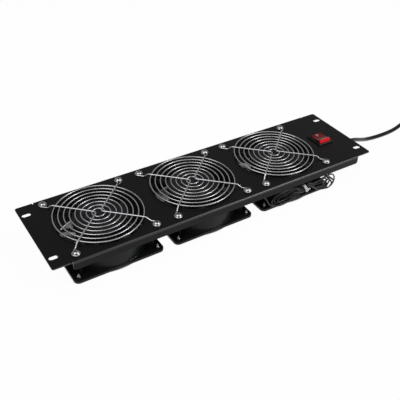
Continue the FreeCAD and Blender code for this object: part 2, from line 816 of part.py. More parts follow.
def hank_slab(points, radii):
    """Flat rounded plate in the hank's plane."""
    corners = [hank_point(x, z) for x, z in points]
    first = corners[0].add(corners[-1]).multiply(0.5)
    face = Part.Face(Part.Wire(outline([first] + corners + [first], radii)))
    slab = face.extrude(V(0, hank_thickness, 0))
    slab.translate(V(0, -hank_thickness / 2, 0))
    return slab


def tie_placed(shape):
    """Places a shape built round the X axis at the tie's middle and slope."""
    shape.rotate(V(0, 0, 0), V(0, 1, 0), -tie_slope)
    shape.translate(hank_point(tie_x, tie_z))
    return shape


def oval_bar(length, grow):
    oval = Part.Ellipse(V(0, 0, 0), hank_waist_half_height + grow, hank_waist_half_depth + grow)
    bar = Part.Face(Part.Wire(oval.toShape())).extrude(V(0, 0, length))
    bar.translate(V(0, 0, -length / 2))
    bar.rotate(V(0, 0, 0), V(0, 1, 0), 90)
    return bar


def lead_hank():
    """Surplus fan lead, wound into a flat oval and pinched by the tie."""
    left = hank_slab(((-60, hank_top), (2.0, hank_top - 1), (0.5, -28.5), (-22, -38),
                      (-44, -38.5), (-60, -28)), (6, 3, 4, 12, 8, 7))
    opening = hank_slab(((-49, -20), (-16, -19.5), (-15, -25), (-30, -32), (-43, -32)), (4, 2, 2, 4, 4))
    right = hank_slab(((15, hank_top), (54, hank_top - 0.5), (64.5, -29), (58, -39.5),
                       (42, -34.5), (13.5, -27)), (3, 6, 5, 4, 8, 4))
    waist = tie_placed(oval_bar(hank_waist_length, 0))
    return left.cut(opening).multiFuse([right, waist]).removeSplitter()


def hank_tie():
    """Cable tie: a flat band round the pinch, its head in front and a cut tail."""
    band = oval_bar(tie_band_width, tie_band_thickness)
    low = -hank_waist_half_height
    head = box(-tie_band_width / 2 - 0.5, -tie_head_height / 2, low - tie_head_length,
               tie_band_width / 2 + 0.5, tie_head_height / 2, low)
    tail = box(-tie_band_width / 2 + 0.6, -tie_tail_thickness / 2, low - tie_tail_length,
               tie_band_width / 2 - 0.6, tie_tail_thickness / 2, low)
    tie = band.multiFuse([head, tail]).cut(oval_bar(hank_waist_length, tie_band_clearance))
    return tie_placed(tie.removeSplitter())


def terminal_rise(place, heading):
    """Last points of a core that comes in level and turns up into a receptacle."""
    x, y = place
    dx = math.cos(math.radians(heading))
    dy = math.sin(math.radians(heading))
    end = sleeve_bottom()
    steps = ((6.8, 11.8), (2.5, 9.3), (0, 5), (0, 0))
    return [V(x - dx * back, y - dy * back, end - drop) for back, drop in steps]


def switch_leads():
    """Two wires from the hank, under the fan's edge, to the fan side of the switch."""
    routes = (((-29.2, hank_plane, -36.2), (-21.2, -59.5, -37.6), (-16.2, -52.5, -38.3),
               (-14.7, -41, -38.1), (-15, -27, -37.8), (-15.7, -13, -38.1)),
              ((-29.2, hank_plane, -31.5), (-19.7, -60.8, -33.4), (-13.2, -54, -36.4),
               (-11.6, -42.5, -38.1), (-11.9, -29, -37.8), (-11, -16.5, -38.1), (-8, -6.5, -38.2)))
    wires = []
    for i, (route, heading) in enumerate(zip(routes, (65, 38))):
        points = [V(switch_x + x, y, panel_top + z) for x, y, z in route]
        points += terminal_rise(terminal_places()[i], heading)
        wires.append(cable(f"switch_leads {i + 1}", points, core_radius).cut(lead_hank()))
    return Part.makeCompound(wires)


def cord_direction():
    angle = math.radians(cord_heading)
    return V(math.cos(angle), math.sin(angle), 0)


def cord_level():
    return fan_top - mount_base_thickness - mount_saddle_height - cord_radius


def jacket_end():
    return V(cord_anchor_x, cord_anchor_y, cord_level()).sub(cord_direction().multiply(cord_jacket_inside))


def cord_exit():
    return V(cord_anchor_x, cord_anchor_y, cord_level()).add(cord_direction().multiply(cord_exit_distance))


def cord_cores():
    """Live and neutral cores, turning back from the jacket's end to the supply side of the switch."""
    end = jacket_end()
    out = cord_direction().multiply(-1)
    side = V(-out.y, out.x, 0)
    bend = ((0, 0), (8, 0), (13, -4.6), (14, -12.6), (10, -20.6), (2, -25.4))
    level = terminal_rise(terminal_places()[2], 0)[0].z
    joins = (V(switch_x - 6, -25, level + 0.6), V(switch_x + 2, -27, level + 1.2))
    wires = []
    for i, join in enumerate(joins):
        start = end.add(V(side).multiply((2 * i - 1) * core_offset)).add(V(0, 0, -core_offset / 2))
        points = [start.add(V(out).multiply(s)).add(V(0, 0, dz)) for s, dz in bend]
        points.append(join)
        points += terminal_rise(terminal_places()[2 + i], (88, 80)[i])
        wires.append(cable(f"cord_cores {i + 1}", points, core_radius))
    return Part.makeCompound(wires)


# Earth connection
def earth_stud():
    return cylinder(stud_x, stud_y, fan_top - stud_length, fan_top, stud_radius)


def ring_barrel(grow):
    """Crimp barrel of the ring terminal, pointing to the front."""
    middle = fan_top - core_radius - 2 * barrel_wall
    return Part.makeCylinder(core_radius + barrel_wall + grow, ring_terminal_barrel_length,
                             V(stud_x, stud_y - ring_terminal_radius + 0.6, middle), V(0, -1, 0))


def ring_terminal():
    low = fan_top - ring_terminal_thickness
    pad = cylinder(stud_x, stud_y, low, fan_top, ring_terminal_radius)
    tongue = box(stud_x - core_radius, stud_y - ring_terminal_radius - 1.5, low,
                 stud_x + core_radius, stud_y, fan_top)
    hole = cylinder(stud_x, stud_y, low - 5, fan_top + 1, stud_radius)
    return pad.multiFuse([ring_barrel(0), tongue]).cut(hole)


def earth_nut():
    high = fan_top - ring_terminal_thickness
    reach = nut_width / math.sqrt(3)
    corners = [V(stud_x + reach * math.cos(math.radians(60 * i)),
                 stud_y + reach * math.sin(math.radians(60 * i)), high - nut_height) for i in range(6)]
    block = Part.Face(Part.makePolygon(corners + [corners[0]])).extrude(V(0, 0, nut_height))
    hole = cylinder(stud_x, stud_y, high - nut_height - 1, high + 1, stud_radius)
    return block.cut([hole, ring_barrel(0.1)])


def earth_lead():
    """Earth core from the jacket's end to the ring terminal."""
    end = jacket_end()
    out = cord_direction().multiply(-1)
    start = end.add(V(0, 0, core_offset)).add(V(out).multiply(earth_lead_gap))
    first = start.add(V(out).multiply(5.5)).add(V(0, 0, 0.5))
    middle = fan_top - core_radius - 2 * barrel_wall
    mouth = V(stud_x, stud_y - ring_terminal_radius + 0.6 - ring_terminal_barrel_length, middle)
    points = [start, first, first.add(V(-5.8, 1.55, 0.4)), first.add(V(-10.8, 7.9, 1.0)),
              V(mouth.x - 0.6, mouth.y - 9.4, middle - 0.8), mouth]
    return cable("earth_lead", points, core_radius).cut(ring_terminal())


# Cord anchor and cord
def cord_frame(shape):
    """Turns a shape built along X at the anchor to the cord's heading."""
    shape.rotate(V(0, 0, 0), V(0, 0, 1), cord_heading)
    shape.translate(V(cord_anchor_x, cord_anchor_y, 0))
    return shape


def cord_mount():
    """Self-adhesive tie base: a square foot and a hollowed saddle for the cord."""
    foot = rounded_block(0, 0, fan_top - mount_base_thickness, fan_top, mount_base_size, mount_base_size, 2)
    saddle = box(-mount_saddle_width / 2, -mount_base_size / 3, cord_level() + cord_radius * 0.4,
                 mount_saddle_width / 2, mount_base_size / 3, fan_top - mount_base_thickness)
    return cord_frame(foot.fuse(saddle).cut([cord_groove(), rounded_tie_ring()]))


def cord_groove():
    """Straight length of the cord through the mount and its tie."""
    start = V(-mount_base_size / 2, 0, cord_level())
    return Part.makeCylinder(cord_radius, mount_base_size, start, V(1, 0, 0))


def rounded_tie_ring():
    """Band of the cord's tie, from the cord up through the saddle."""
    reach = cord_radius + tie_band_thickness
    half = tie_band_width / 2
    top = fan_top - mount_base_thickness
    outer = Part.makeCylinder(reach, 2 * half, V(-half, 0, cord_level()), V(1, 0, 0))
    outer = outer.fuse(box(-half, -reach, cord_level(), half, reach, top))
    inner = Part.makeCylinder(cord_radius, 2 * half, V(-half, 0, cord_level()), V(1, 0, 0))
    inner = inner.fuse(box(-half, -cord_radius, cord_level(), half, cord_radius, top - tie_band_thickness))
    return outer.cut(inner)


def cord_tie():
    head = box(-tie_band_width / 2 - 0.5, cord_radius, cord_level() - tie_head_length - 1,
               tie_band_width / 2 + 0.5, cord_radius + tie_head_height, cord_level() - 1)
    return cord_frame(rounded_tie_ring().fuse(head).cut(cord_groove()).removeSplitter())


def cord_points():
    """Cord from its anchor, down to the surface and on to its coil."""
    steps = ((24, 9.9, 33.2), (43, 17.2, 30.9), (62, 22.6, 24.6), (81, 27.8, 15.8), (100, 33.0, 7.6),
             (120, 35.6, cord_radius), (143, 34.6, cord_radius), (167, 36.2, cord_radius),
             (191, 42.5, cord_radius), (212, 48.6, cord_radius))
    return [jacket_end(), cord_exit()] + [V(cord_anchor_x + x, cord_anchor_y + y, z) for x, y, z in steps]


def power_cord():
    return cable("power_cord", cord_points(), cord_radius).cut(cord_coil())


def coil_outer_radius():
    return coil_middle_radius + coil_bottom_turns * cord_diameter / 2


def cord_coil():
    """Wound surplus of the cord: one layer on the surface and one turn fewer on top."""
    outer = coil_outer_radius()
    inner = coil_middle_radius - coil_bottom_turns * cord_diameter / 2
    high = cord_diameter + coil_layer_rise
    shrink = cord_radius
    points = [V(inner, 0, 0), V(outer, 0, 0), V(outer, 0, cord_diameter * 0.75),
              V(outer - shrink, 0, high), V(inner + shrink, 0, high), V(inner, 0, cord_diameter * 0.75)]
    face = Part.Face(Part.makePolygon(points + [points[0]]))
    coil = face.revolve(V(0, 0, 0), V(0, 0, 1), 360)
    coil.translate(V(coil_x, coil_y, 0))
    return coil


# Plug
def plug_frame(shape):
    """Places a shape built along +X from the coil's rim, pins outwards."""
    shape.rotate(V(0, 0, 0), V(0, 0, 1), plug_heading)
    rim = coil_middle_radius + (coil_bottom_turns - 2) * cord_diameter / 2
    angle = math.radians(plug_heading + 90)
    shape.translate(V(coil_x + rim * math.cos(angle), coil_y + rim * math.sin(angle), plug_body_height / 2))
    return shape


def plug_start():
    outer = coil_outer_radius()
    rim = coil_middle_radius + (coil_bottom_turns - 2) * cord_diameter / 2
    return math.sqrt(outer ** 2 - rim ** 2) - plug_relief_sink


def plug():
    """Moulded plug: ribbed relief, tapered neck and a rounded grip."""
    start = plug_start()
    relief = Part.makeCone(plug_relief_end_radius, plug_relief_start_radius, plug_relief_length,
                           V(start, 0, 0), V(1, 0, 0))
    cuts = []
    for i in range(4):
        at = start + 5 + 4.6 * i
        cuts.append(ring_x(at, 1.6, plug_relief_start_radius + 1, plug_relief_end_radius - 0.2))
    neck_x = start + plug_relief_length
    body_x = neck_x + plug_body_length * 0.45
    end_x = neck_x + plug_body_length
    sections = [rounded_section(neck_x - 1, plug_neck_width, plug_neck_height, plug_edge_radius),
                rounded_section(body_x, plug_body_width, plug_body_height, plug_edge_radius)]
    grip = Part.makeLoft(sections, True, True)
    face = rounded_section(body_x, plug_body_width, plug_body_height, plug_edge_radius)
    block = Part.Face(face).extrude(V(end_x - body_x, 0, 0))
    body = relief.cut(cuts).multiFuse([grip, block]).removeSplitter()
    return plug_frame(body.cut(pin_solids(end_x))).cut(cord_coil())


def ring_x(x, width, outer, inner):
    """Washer on the X axis."""
    disc = Part.makeCylinder(outer, width, V(x, 0, 0), V(1, 0, 0))
    return disc.cut(Part.makeCylinder(inner, width, V(x, 0, 0), V(1, 0, 0)))


def rounded_section(x, width, height, radius):
    half_w = width / 2
    half_h = height / 2
    corners = [V(x, 0, -half_h), V(x, half_w, -half_h), V(x, half_w, half_h), V(x, -half_w, half_h),
               V(x, -half_w, -half_h), V(x, 0, -half_h)]
    return Part.Wire(outline(corners, [radius] * 4))


def pin_solids(face_x):
    root = 4
    pins = []
    for s in (-1, 1):
        y = s * plug_blade_spacing / 2
        pins.append(box(face_x - root, y - plug_blade_thickness / 2, plug_blade_offset - plug_blade_width / 2,
                        face_x + plug_blade_length, y + plug_blade_thickness / 2,
                        plug_blade_offset + plug_blade_width / 2))
    earth = Part.makeCylinder(plug_earth_radius, root + plug_earth_length - plug_earth_radius,
                              V(face_x - root, 0, -plug_earth_offset), V(1, 0, 0))
    tip = face_x + plug_earth_length - plug_earth_radius
    nose = Part.makeSphere(plug_earth_radius, V(tip, 0, -plug_earth_offset))
    pins.append(earth.fuse(nose).removeSplitter())
    return pins


def plug_pins():
    face_x = plug_start() + plug_relief_length + plug_body_length
    return plug_frame(Part.makeCompound(pin_solids(face_x)))


def nodes():
    """Every named piece with its shape."""
    pieces = {"panel": panel(), "switch_housing": switch_housing(), "rocker": rocker(),
              "switch_terminals": Part.makeCompound([terminal(x, y) for x, y in terminal_places()]),
              "terminal_sleeves": terminal_sleeves()}
    guard_grip = guard_leg_wire + panel_thickness + fan_flange_thickness
    pieces["guard_screws"] = screw_set(guard_grip, panel_top + guard_leg_wire, True)
    pieces["rear_screws"] = screw_set(fan_flange_thickness, fan_bottom, False)
    for i, x in enumerate(fan_centres):
        name = f"fan_{i + 1}"
        pieces[f"finger_guard_{i + 1}"] = finger_guard(x)
        pieces[f"{name}_frame"] = fan_frame(x)
        pieces[f"{name}_impeller"] = impeller(x, rotor_rest_angles[i])
        pieces[f"{name}_shaft"] = shaft(x)
        pieces[f"{name}_rotor_ring"] = rotor_ring(x)
        pieces[f"{name}_bearings"] = bearings(x)
        pieces[f"{name}_stator_core"] = stator_core(x)
        pieces[f"{name}_windings"] = windings(x)
        pieces[f"{name}_leads"] = fan_leads(i)
    pieces["lead_hank"] = lead_hank()
    pieces["hank_tie"] = hank_tie()
    pieces["switch_leads"] = switch_leads()
    pieces["cord_cores"] = cord_cores()
    pieces["earth_stud"] = earth_stud()
    pieces["earth_terminal"] = ring_terminal()
    pieces["earth_nut"] = earth_nut()
    pieces["earth_lead"] = earth_lead()
    pieces["cord_mount"] = cord_mount()
    pieces["cord_tie"] = cord_tie()
    pieces["power_cord"] = power_cord()
    pieces["cord_coil"] = cord_coil()
    pieces["plug"] = plug()
    pieces["plug_pins"] = plug_pins()
    return pieces


os.makedirs("parts", exist_ok=True)
for node, shape in nodes().items():
    solids = shape.Solids
    whole = solids[0] if len(solids) == 1 else Part.makeCompound(solids)
    print(f"{node}: {len(solids)} solids, valid {whole.isValid()}, volume {whole.Volume:.1f}")
    whole.exportStep(f"parts/{node}.step")
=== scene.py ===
"""Looks of a rack fan tray: finishes, wire guards, wiring, cord, light and camera."""

import json
import logging
import math
from collections.abc import Iterable, Sequence
from dataclasses import dataclass
from enum import Enum

import bmesh
import bpy
from mathutils import Matrix, Vector


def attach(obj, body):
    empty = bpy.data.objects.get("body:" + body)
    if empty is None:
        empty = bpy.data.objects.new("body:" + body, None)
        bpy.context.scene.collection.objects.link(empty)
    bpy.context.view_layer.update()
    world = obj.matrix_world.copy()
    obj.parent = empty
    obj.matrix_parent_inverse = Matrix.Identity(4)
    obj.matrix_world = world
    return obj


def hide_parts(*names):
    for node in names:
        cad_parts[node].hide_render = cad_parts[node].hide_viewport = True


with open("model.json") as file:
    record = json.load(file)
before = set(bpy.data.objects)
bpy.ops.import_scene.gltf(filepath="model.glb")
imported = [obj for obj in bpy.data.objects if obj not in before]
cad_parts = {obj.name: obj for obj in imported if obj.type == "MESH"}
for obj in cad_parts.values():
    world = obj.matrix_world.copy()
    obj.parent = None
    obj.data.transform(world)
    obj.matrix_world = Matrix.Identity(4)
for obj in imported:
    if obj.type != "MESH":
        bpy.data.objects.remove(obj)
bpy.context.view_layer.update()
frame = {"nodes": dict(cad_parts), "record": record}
LOG = logging.getLogger("fan_tray")

Point = tuple[float, float, float]
Colour = tuple[float, float, float, float]
Socket = bpy.types.NodeSocket
Piece = bpy.types.Object
Material = bpy.types.Material
Mesh = bpy.types.Mesh

WHITE: Colour = (1.0, 1.0, 1.0, 1.0)
BLACK: Colour = (0.0, 0.0, 0.0, 1.0)
MM = 0.001

# Places that several sub-assemblies share, in millimetres and degrees

FAN_CENTRES = (-155.9, -20.5, 114.9)
SCREW_OFFSET = 52.5
LOWER_FLANGE = 5.9
UPPER_FLANGE = 37.4
PANEL_TOP = 42.4
TIE_MIDDLE: Point = (124.3, -62.3, 20.9)
TIE_SLOPE = 30.0


def srgb(red: float, green: float, blue: float) -> Colour:
    """Turns a display colour into the linear colour that a shader takes.

    Args:
        red: Display value from 0 to 255.
        green: Display value from 0 to 255.
        blue: Display value from 0 to 255.

    Returns:
        The linear colour with full alpha.
    """
    linear = []
    for value in (red, green, blue):
        share = value / 255
        linear.append(share / 12.92 if share <= 0.04045 else ((share + 0.055) / 1.055) ** 2.4)
    return (*linear, 1.0)


def scaled(colour: Colour, factor: float) -> Colour:
    """Returns the colour made lighter or darker by a factor."""
    return (colour[0] * factor, colour[1] * factor, colour[2] * factor, 1.0)


def metres(points: Iterable[Point]) -> list[Vector]:
    """Returns points given in millimetres as vectors in metres."""
    return [Vector(p) * MM for p in points]


# Node building


class Number:
    """A value socket whose arithmetic adds Math nodes to its tree."""

    def __init__(self, builder: "NodeBuilder", socket: Socket) -> None:
        """Keeps the builder and the socket."""
        self.builder = builder
        self.socket = socket

    def math(self, operation: str, *values: object) -> "Number":
        """Adds one Math node.

        Args:
            operation: The node's operation.
            values: Its inputs, as numbers, sockets or Number objects.

        Returns:
            The node's result.
        """
        node = self.builder.node("ShaderNodeMath", {"operation": operation}, dict(enumerate(values)))
        return Number(self.builder, node.outputs[0])

    def __add__(self, other: object) -> "Number":
        """Returns self + other."""
        return self.math("ADD", self, other)

    def __radd__(self, other: object) -> "Number":
        """Returns other + self."""
        return self.math("ADD", other, self)

    def __sub__(self, other: object) -> "Number":
        """Returns self - other."""
        return self.math("SUBTRACT", self, other)

    def __rsub__(self, other: object) -> "Number":
        """Returns other - self."""
        return self.math("SUBTRACT", other, self)

    def __mul__(self, other: object) -> "Number":
        """Returns self * other."""
        return self.math("MULTIPLY", self, other)

    def __rmul__(self, other: object) -> "Number":
        """Returns other * self."""
        return self.math("MULTIPLY", other, self)

    def __truediv__(self, other: object) -> "Number":
        """Returns self / other."""
        return self.math("DIVIDE", self, other)

    def __rtruediv__(self, other: object) -> "Number":
        """Returns other / self."""
        return self.math("DIVIDE", other, self)

    def __pow__(self, other: object) -> "Number":
        """Returns self ** other."""
        return self.math("POWER", self, other)

    def __rpow__(self, other: object) -> "Number":
        """Returns other ** self."""
        return self.math("POWER", other, self)

    def sine(self) -> "Number":
        """Returns the sine of self, in radians."""
        return self.math("SINE", self)

    def size(self) -> "Number":
        """Returns self without its sign."""
        return self.math("ABSOLUTE", self)

    def largest(self, other: object) -> "Number":
        """Returns the larger of self and other."""
        return self.math("MAXIMUM", self, other)

    def smallest(self, other: object) -> "Number":
        """Returns the smaller of self and other."""
        return self.math("MINIMUM", self, other)

    def step(self, low: float, high: float) -> "Number":
        """Returns a smooth step of self from 0 at low to 1 at high."""
        node = self.builder.node("ShaderNodeMapRange", {"interpolation_type": "SMOOTHSTEP"},
                                 {"Value": self, "From Min": low, "From Max": high})
        return Number(self.builder, node.outputs[0])


class NodeBuilder:
    """Adds nodes to one node tree."""

    def __init__(self, tree: bpy.types.NodeTree) -> None:
        """Keeps the tree."""
        self.tree = tree

    def node(self, kind: str, settings: dict[str, object] | None = None,
             inputs: dict[object, object] | None = None) -> bpy.types.Node:
        """Adds one node, its settings first and then its sockets.

        Args:
            kind: The node's type.
            settings: Properties of the node.
            inputs: Values or links by socket name or place.

        Returns:
            The new node.
        """
        made = self.tree.nodes.new(kind)
        for name, value in (settings or {}).items():
            setattr(made, name, value)
        for key, value in (inputs or {}).items():
            self.feed(made.inputs[key], value)
        return made

    def feed(self, socket: Socket, value: object) -> None:
        """Links or sets one input socket.

        Args:
            socket: The input.
            value: A value, an output socket, a Number, or a list of output sockets.
        """
        if isinstance(value, Number):
            value = value.socket
        if isinstance(value, list):
            for item in value:
                self.tree.links.new(item, socket)
        elif isinstance(value, Socket):
            self.tree.links.new(value, socket)
        else:
            socket.default_value = value


class MaterialBuilder(NodeBuilder):
    """Builds one material round a Principled shader."""

    def __init__(self, name: str) -> None:
        """Makes the material and keeps its shader and output.

        Args:
            name: Name of the material.
        """
        self.material = bpy.data.materials.new(name)
        self.material.use_nodes = True
        super().__init__(self.material.node_tree)
        self.shader = next(n for n in self.tree.nodes if n.type == "BSDF_PRINCIPLED")
        self.output = next(n for n in self.tree.nodes if n.type == "OUTPUT_MATERIAL")

    def place(self, stretch: Point = (1, 1, 1)) -> Socket:
        """Returns Object coordinates, stretched along each axis."""
        coordinates = self.node("ShaderNodeTexCoord").outputs["Object"]
        return self.node("ShaderNodeMapping", None, {"Vector": coordinates, "Scale": stretch}).outputs[0]

    def axis(self, vector: Socket, index: int) -> Number:
        """Returns one component of a vector."""
        return Number(self, self.node("ShaderNodeSeparateXYZ", None, {0: vector}).outputs[index])

    def noise(self, vector: Socket, size: float, detail: float = 2.0) -> Number:
        """Returns noise whose cells are about the given size in metres."""
        node = self.node("ShaderNodeTexNoise", None,
                         {"Vector": vector, "Scale": 1 / size, "Detail": detail})
        return Number(self, node.outputs[0])

    def mix(self, factor: object, first: object, second: object) -> Socket:
        """Returns a colour between two colours."""
        return self.node("ShaderNodeMix", {"data_type": "RGBA"},
                         {0: factor, 6: first, 7: second}).outputs[2]

    def bump(self, height: Number, distance: float) -> Socket:
        """Returns the normal of a relief of the given height in metres."""
        return self.node("ShaderNodeBump", None, {"Height": height, "Distance": distance}).outputs[0]

    def set(self, **sockets: object) -> None:
        """Sets or links the shader's sockets, named with underscores for spaces."""
        for name, value in sockets.items():
            self.feed(self.shader.inputs[name.replace("_", " ")], value)


class GeometryBuilder(NodeBuilder):
    """Builds a Geometry Nodes tree with named sizes and bakes it to a mesh."""

    def __init__(self, name: str, sizes: dict[str, float]) -> None:
        """Makes the tree with its guide and one float input for each size.

        Args:
            name: Name of the tree.
            sizes: Sizes by the names of their inputs, in metres or plain numbers.
        """
        super().__init__(bpy.data.node_groups.new(name, "GeometryNodeTree"))
        face = self.tree.interface
        face.new_socket("Guide", in_out="INPUT", socket_type="NodeSocketGeometry")
        for size, value in sizes.items():
            face.new_socket(size, in_out="INPUT", socket_type="NodeSocketFloat").default_value = value
        face.new_socket("Mesh", in_out="OUTPUT", socket_type="NodeSocketGeometry")
        self.entry = self.node("NodeGroupInput")
        self.sizes = sizes

    def size(self, name: str) -> Number:
        """Returns the named size."""
        return Number(self, self.entry.outputs[name])

    def vector(self, x: object, y: object, z: object) -> Socket:
        """Returns a vector of three values."""
        return self.node("ShaderNodeCombineXYZ", None, {0: x, 1: y, 2: z}).outputs[0]

    def circle(self, radius: object, sides: int) -> Socket:
        """Returns a circle curve."""
        return self.node("GeometryNodeCurvePrimitiveCircle", None,
                         {"Resolution": sides, "Radius": radius}).outputs[0]

    def curve(self, mesh: Socket) -> Socket:
        """Returns the edges of a mesh as curves."""
        return self.node("GeometryNodeMeshToCurve", None, {"Mesh": mesh}).outputs[0]

    def sweep(self, curve: Socket, profile: Socket, capped: bool = False) -> Socket:
        """Returns the mesh of a profile drawn along a curve."""
        return self.node("GeometryNodeCurveToMesh", None,
                         {"Curve": curve, "Profile Curve": profile, "Fill Caps": capped}).outputs[0]

    def on_points(self, points: Socket, instance: Socket, **inputs: object) -> Socket:
        """Returns an instance on each point, made real."""
        placed = self.node("GeometryNodeInstanceOnPoints", None,
                           {"Points": points, "Instance": instance, **inputs}).outputs[0]
        return self.node("GeometryNodeRealizeInstances", None, {0: placed}).outputs[0]

    def moved(self, geometry: Socket, **inputs: object) -> Socket:
        """Returns geometry moved, turned or scaled."""
        return self.node("GeometryNodeTransform", None, {"Geometry": geometry, **inputs}).outputs[0]

    def joined(self, *parts: Socket) -> Socket:
        """Returns several geometries as one."""
        return self.node("GeometryNodeJoinGeometry", None, {0: list(reversed(parts))}).outputs[0]

    def finish(self, geometry: Socket, material: Material, smooth: bool = True) -> None:
        """Ends the tree with shading, real instances and the material.

        Args:
            geometry: The finished geometry.
            material: Its material.
            smooth: Whether its faces are shaded smooth.
        """
        shaded = self.node("GeometryNodeSetShadeSmooth", None,
                           {"Geometry": geometry, "Shade Smooth": smooth}).outputs[0]
        real = self.node("GeometryNodeRealizeInstances", None, {0: shaded}).outputs[0]
        dressed = self.node("GeometryNodeSetMaterial", None,
                            {"Geometry": real, "Material": material}).outputs[0]
        self.node("NodeGroupOutput", None, {"Mesh": dressed})

    def bake(self, name: str, guide: Mesh, sizes: dict[str, float] | None = None) -> Piece:
        """Runs the tree on a guide mesh and keeps the result as a plain mesh object.

        Args:
            name: Name of the finished piece.
            guide: Mesh that the tree reads as its guide.
            sizes: Sizes that differ from the tree's own.

        Returns:
            The finished object, at the origin, with no modifier.
        """
        holder = add_object(name + "_guide", guide)
        modifier = holder.modifiers.new("Build", "NODES")
        modifier.node_group = self.tree
        values = {**self.sizes, **(sizes or {})}
        for item in self.tree.interface.items_tree:
            if item.item_type == "SOCKET" and item.in_out == "INPUT" and item.name in values:
                modifier[item.identifier] = values[item.name]
        graph = bpy.context.evaluated_depsgraph_get()
        mesh = bpy.data.meshes.new_from_object(holder.evaluated_get(graph), depsgraph=graph)
        bpy.data.objects.remove(holder)
        mesh.name = name
        return add_object(name, mesh)


def add_object(name: str, data: bpy.types.ID) -> Piece:
    """Links a new object at the origin.

    Args:
        name: Name of the object.
        data: Its mesh, curve, camera or lamp.

    Returns:
        The object.
    """
    made = bpy.data.objects.new(name, data)
    bpy.context.scene.collection.objects.link(made)
    return made


# Finishes


@dataclass(frozen=True)
class Finish:
    """Plain finish: a colour and a gloss that drift a little, and a fine grain.

    Sizes are in metres. The drifts are shares of the colour and of the roughness,
    and gloss_split says how many patches of gloss fit along a patch of colour.
    """

    colour: Colour
    roughness: float
    metallic: float = 0.0
    specular: float = 0.5
    coat: float = 0.0
    coat_roughness: float = 0.12
    drift: float = 0.12
    drift_size: float = 0.02
    gloss_drift: float = 0.12
    gloss_split: float = 3.0
    grain: float = 2e-5
    grain_size: float = 6e-4

    def build(self, name: str) -> Material:
        """Builds the material.

        Args:
            name: Name of the material.

        Returns:
            The finished material.
        """
        builder = MaterialBuilder(name)
        place = builder.place()
        builder.set(
            Base_Color=self.tint(builder, place),
            Roughness=self.gloss(builder, place),
            Normal=builder.bump(self.relief(builder, place), self.grain),
            Metallic=self.metallic,
            Specular_IOR_Level=self.specular,
            Coat_Weight=self.varnish(builder, place),
            Coat_Roughness=self.coat_roughness,
        )
        return builder.material

    def tint(self, builder: MaterialBuilder, place: Socket) -> object:
        """Returns the colour, drifting in soft patches."""
        patches = builder.noise(place, self.drift_size, detail=3.0)
        return builder.mix(patches, scaled(self.colour, 1 - self.drift),
                           scaled(self.colour, 1 + self.drift))

    def gloss(self, builder: MaterialBuilder, place: Socket) -> Number:
        """Returns the roughness, drifting where hands and tools have been."""
        patches = builder.noise(place, self.drift_size / self.gloss_split, detail=4.0)
        return (patches - 0.5) * (2 * self.gloss_drift * self.roughness) + self.roughness

    def varnish(self, builder: MaterialBuilder, place: Socket) -> object:
        """Returns the weight of the clear coat."""
        return self.coat

    def relief(self, builder: MaterialBuilder, place: Socket) -> Number:
        """Returns the height of the fine grain, from 0 to about 1."""
        return builder.noise(place, self.grain_size)


@dataclass(frozen=True)
class WavySkin(Finish):
    """Extruded or baked skin: a fine grain on long soft waves.

    wave_ratio is the waves' length in grains, and wave_share their part of the height.
    """

    wave_ratio: float = 6.0
    wave_share: float = 0.6
    grain_detail: float = 2.0

    def relief(self, builder: MaterialBuilder, place: Socket) -> Number:
        """Returns the waves with the grain on them.

        Args:
            builder: Builder of the material.
            place: Coordinates on the object.

        Returns:
            The height, from 0 to about 1.
        """
        waves = builder.noise(place, self.grain_size * self.wave_ratio, detail=1.0)
        grain = builder.noise(place, self.grain_size, self.grain_detail)
        return waves * self.wave_share + grain * (1 - self.wave_share)


@dataclass(frozen=True)
class PowderCoat(WavySkin):
    """Baked powder coat with an orange-peel skin, glossy over the panel's two folds, which carry a painted
    lighter-grey highlight.

    fold_start is where the folds start, as a distance from the middle along Y and a height.
    """

    wave_ratio: float = 4.0
    wave_share: float = 0.7
    grain_detail: float = 3.0
    fold_start: tuple[float, float] = (0.0627, 0.0402)
    fold_blend: float = 0.0004
    # painted highlight: lighter grey on the folds, standing in for the lamp's line along the bends
    fold_colour: Colour = srgb(44, 44, 44)

    def fold(self, builder: MaterialBuilder, place: Socket) -> Number:
        """Marks the folds.

        Args:
            builder: Builder of the material.
            place: Coordinates on the object.

        Returns:
            1 on the folds and 0 elsewhere.
        """
        outside = builder.axis(place, 1).size() - self.fold_start[0]
        above = builder.axis(place, 2) - self.fold_start[1]
        return outside.smallest(above).step(0.0, self.fold_blend)

    def tint(self, builder: MaterialBuilder, place: Socket) -> object:
        """Returns the black of the coat, with a lighter grey painted on the folds as a highlight."""
        # painted highlight mixed in on the folds
        return builder.mix(self.fold(builder, place), super().tint(builder, place), self.fold_colour)

    def varnish(self, builder: MaterialBuilder, place: Socket) -> object:
        """Returns full gloss on the folds and none elsewhere."""
        return self.fold(builder, place)


@dataclass(frozen=True)
class Casting(Finish):
    """Painted die casting: shallow pits, and flow marks that run along Z.

    flow_ratio is the flow marks' size in grains, and flow_share their part of the height.
    """

    pit_levels: tuple[float, float] = (0.32, 0.55)
    flow_stretch: Point = (1, 1, 0.2)
    flow_ratio: float = 8.0
    flow_share: float = 0.4

    def relief(self, builder: MaterialBuilder, place: Socket) -> Number:
        """Returns the pits and the flow marks.

        Args:
            builder: Builder of the material.
            place: Coordinates on the object.

        Returns:
            The height, from 0 to about 1.
        """
        flow = builder.noise(builder.place(self.flow_stretch), self.grain_size * self.flow_ratio)
        pits = builder.noise(place, self.grain_size).step(*self.pit_levels)
        return pits * (1 - self.flow_share) + flow * self.flow_share


@dataclass(frozen=True)
class Drawn(Finish):
    """Bright metal with faint marks of its drawing, plating or grinding."""

    metallic: float = 1.0
    stretch: Point = (1, 1, 1)

    def relief(self, builder: MaterialBuilder, place: Socket) -> Number:
        """Returns fine marks that run along one direction."""
        return builder.noise(builder.place(self.stretch), self.grain_size, detail=4.0)


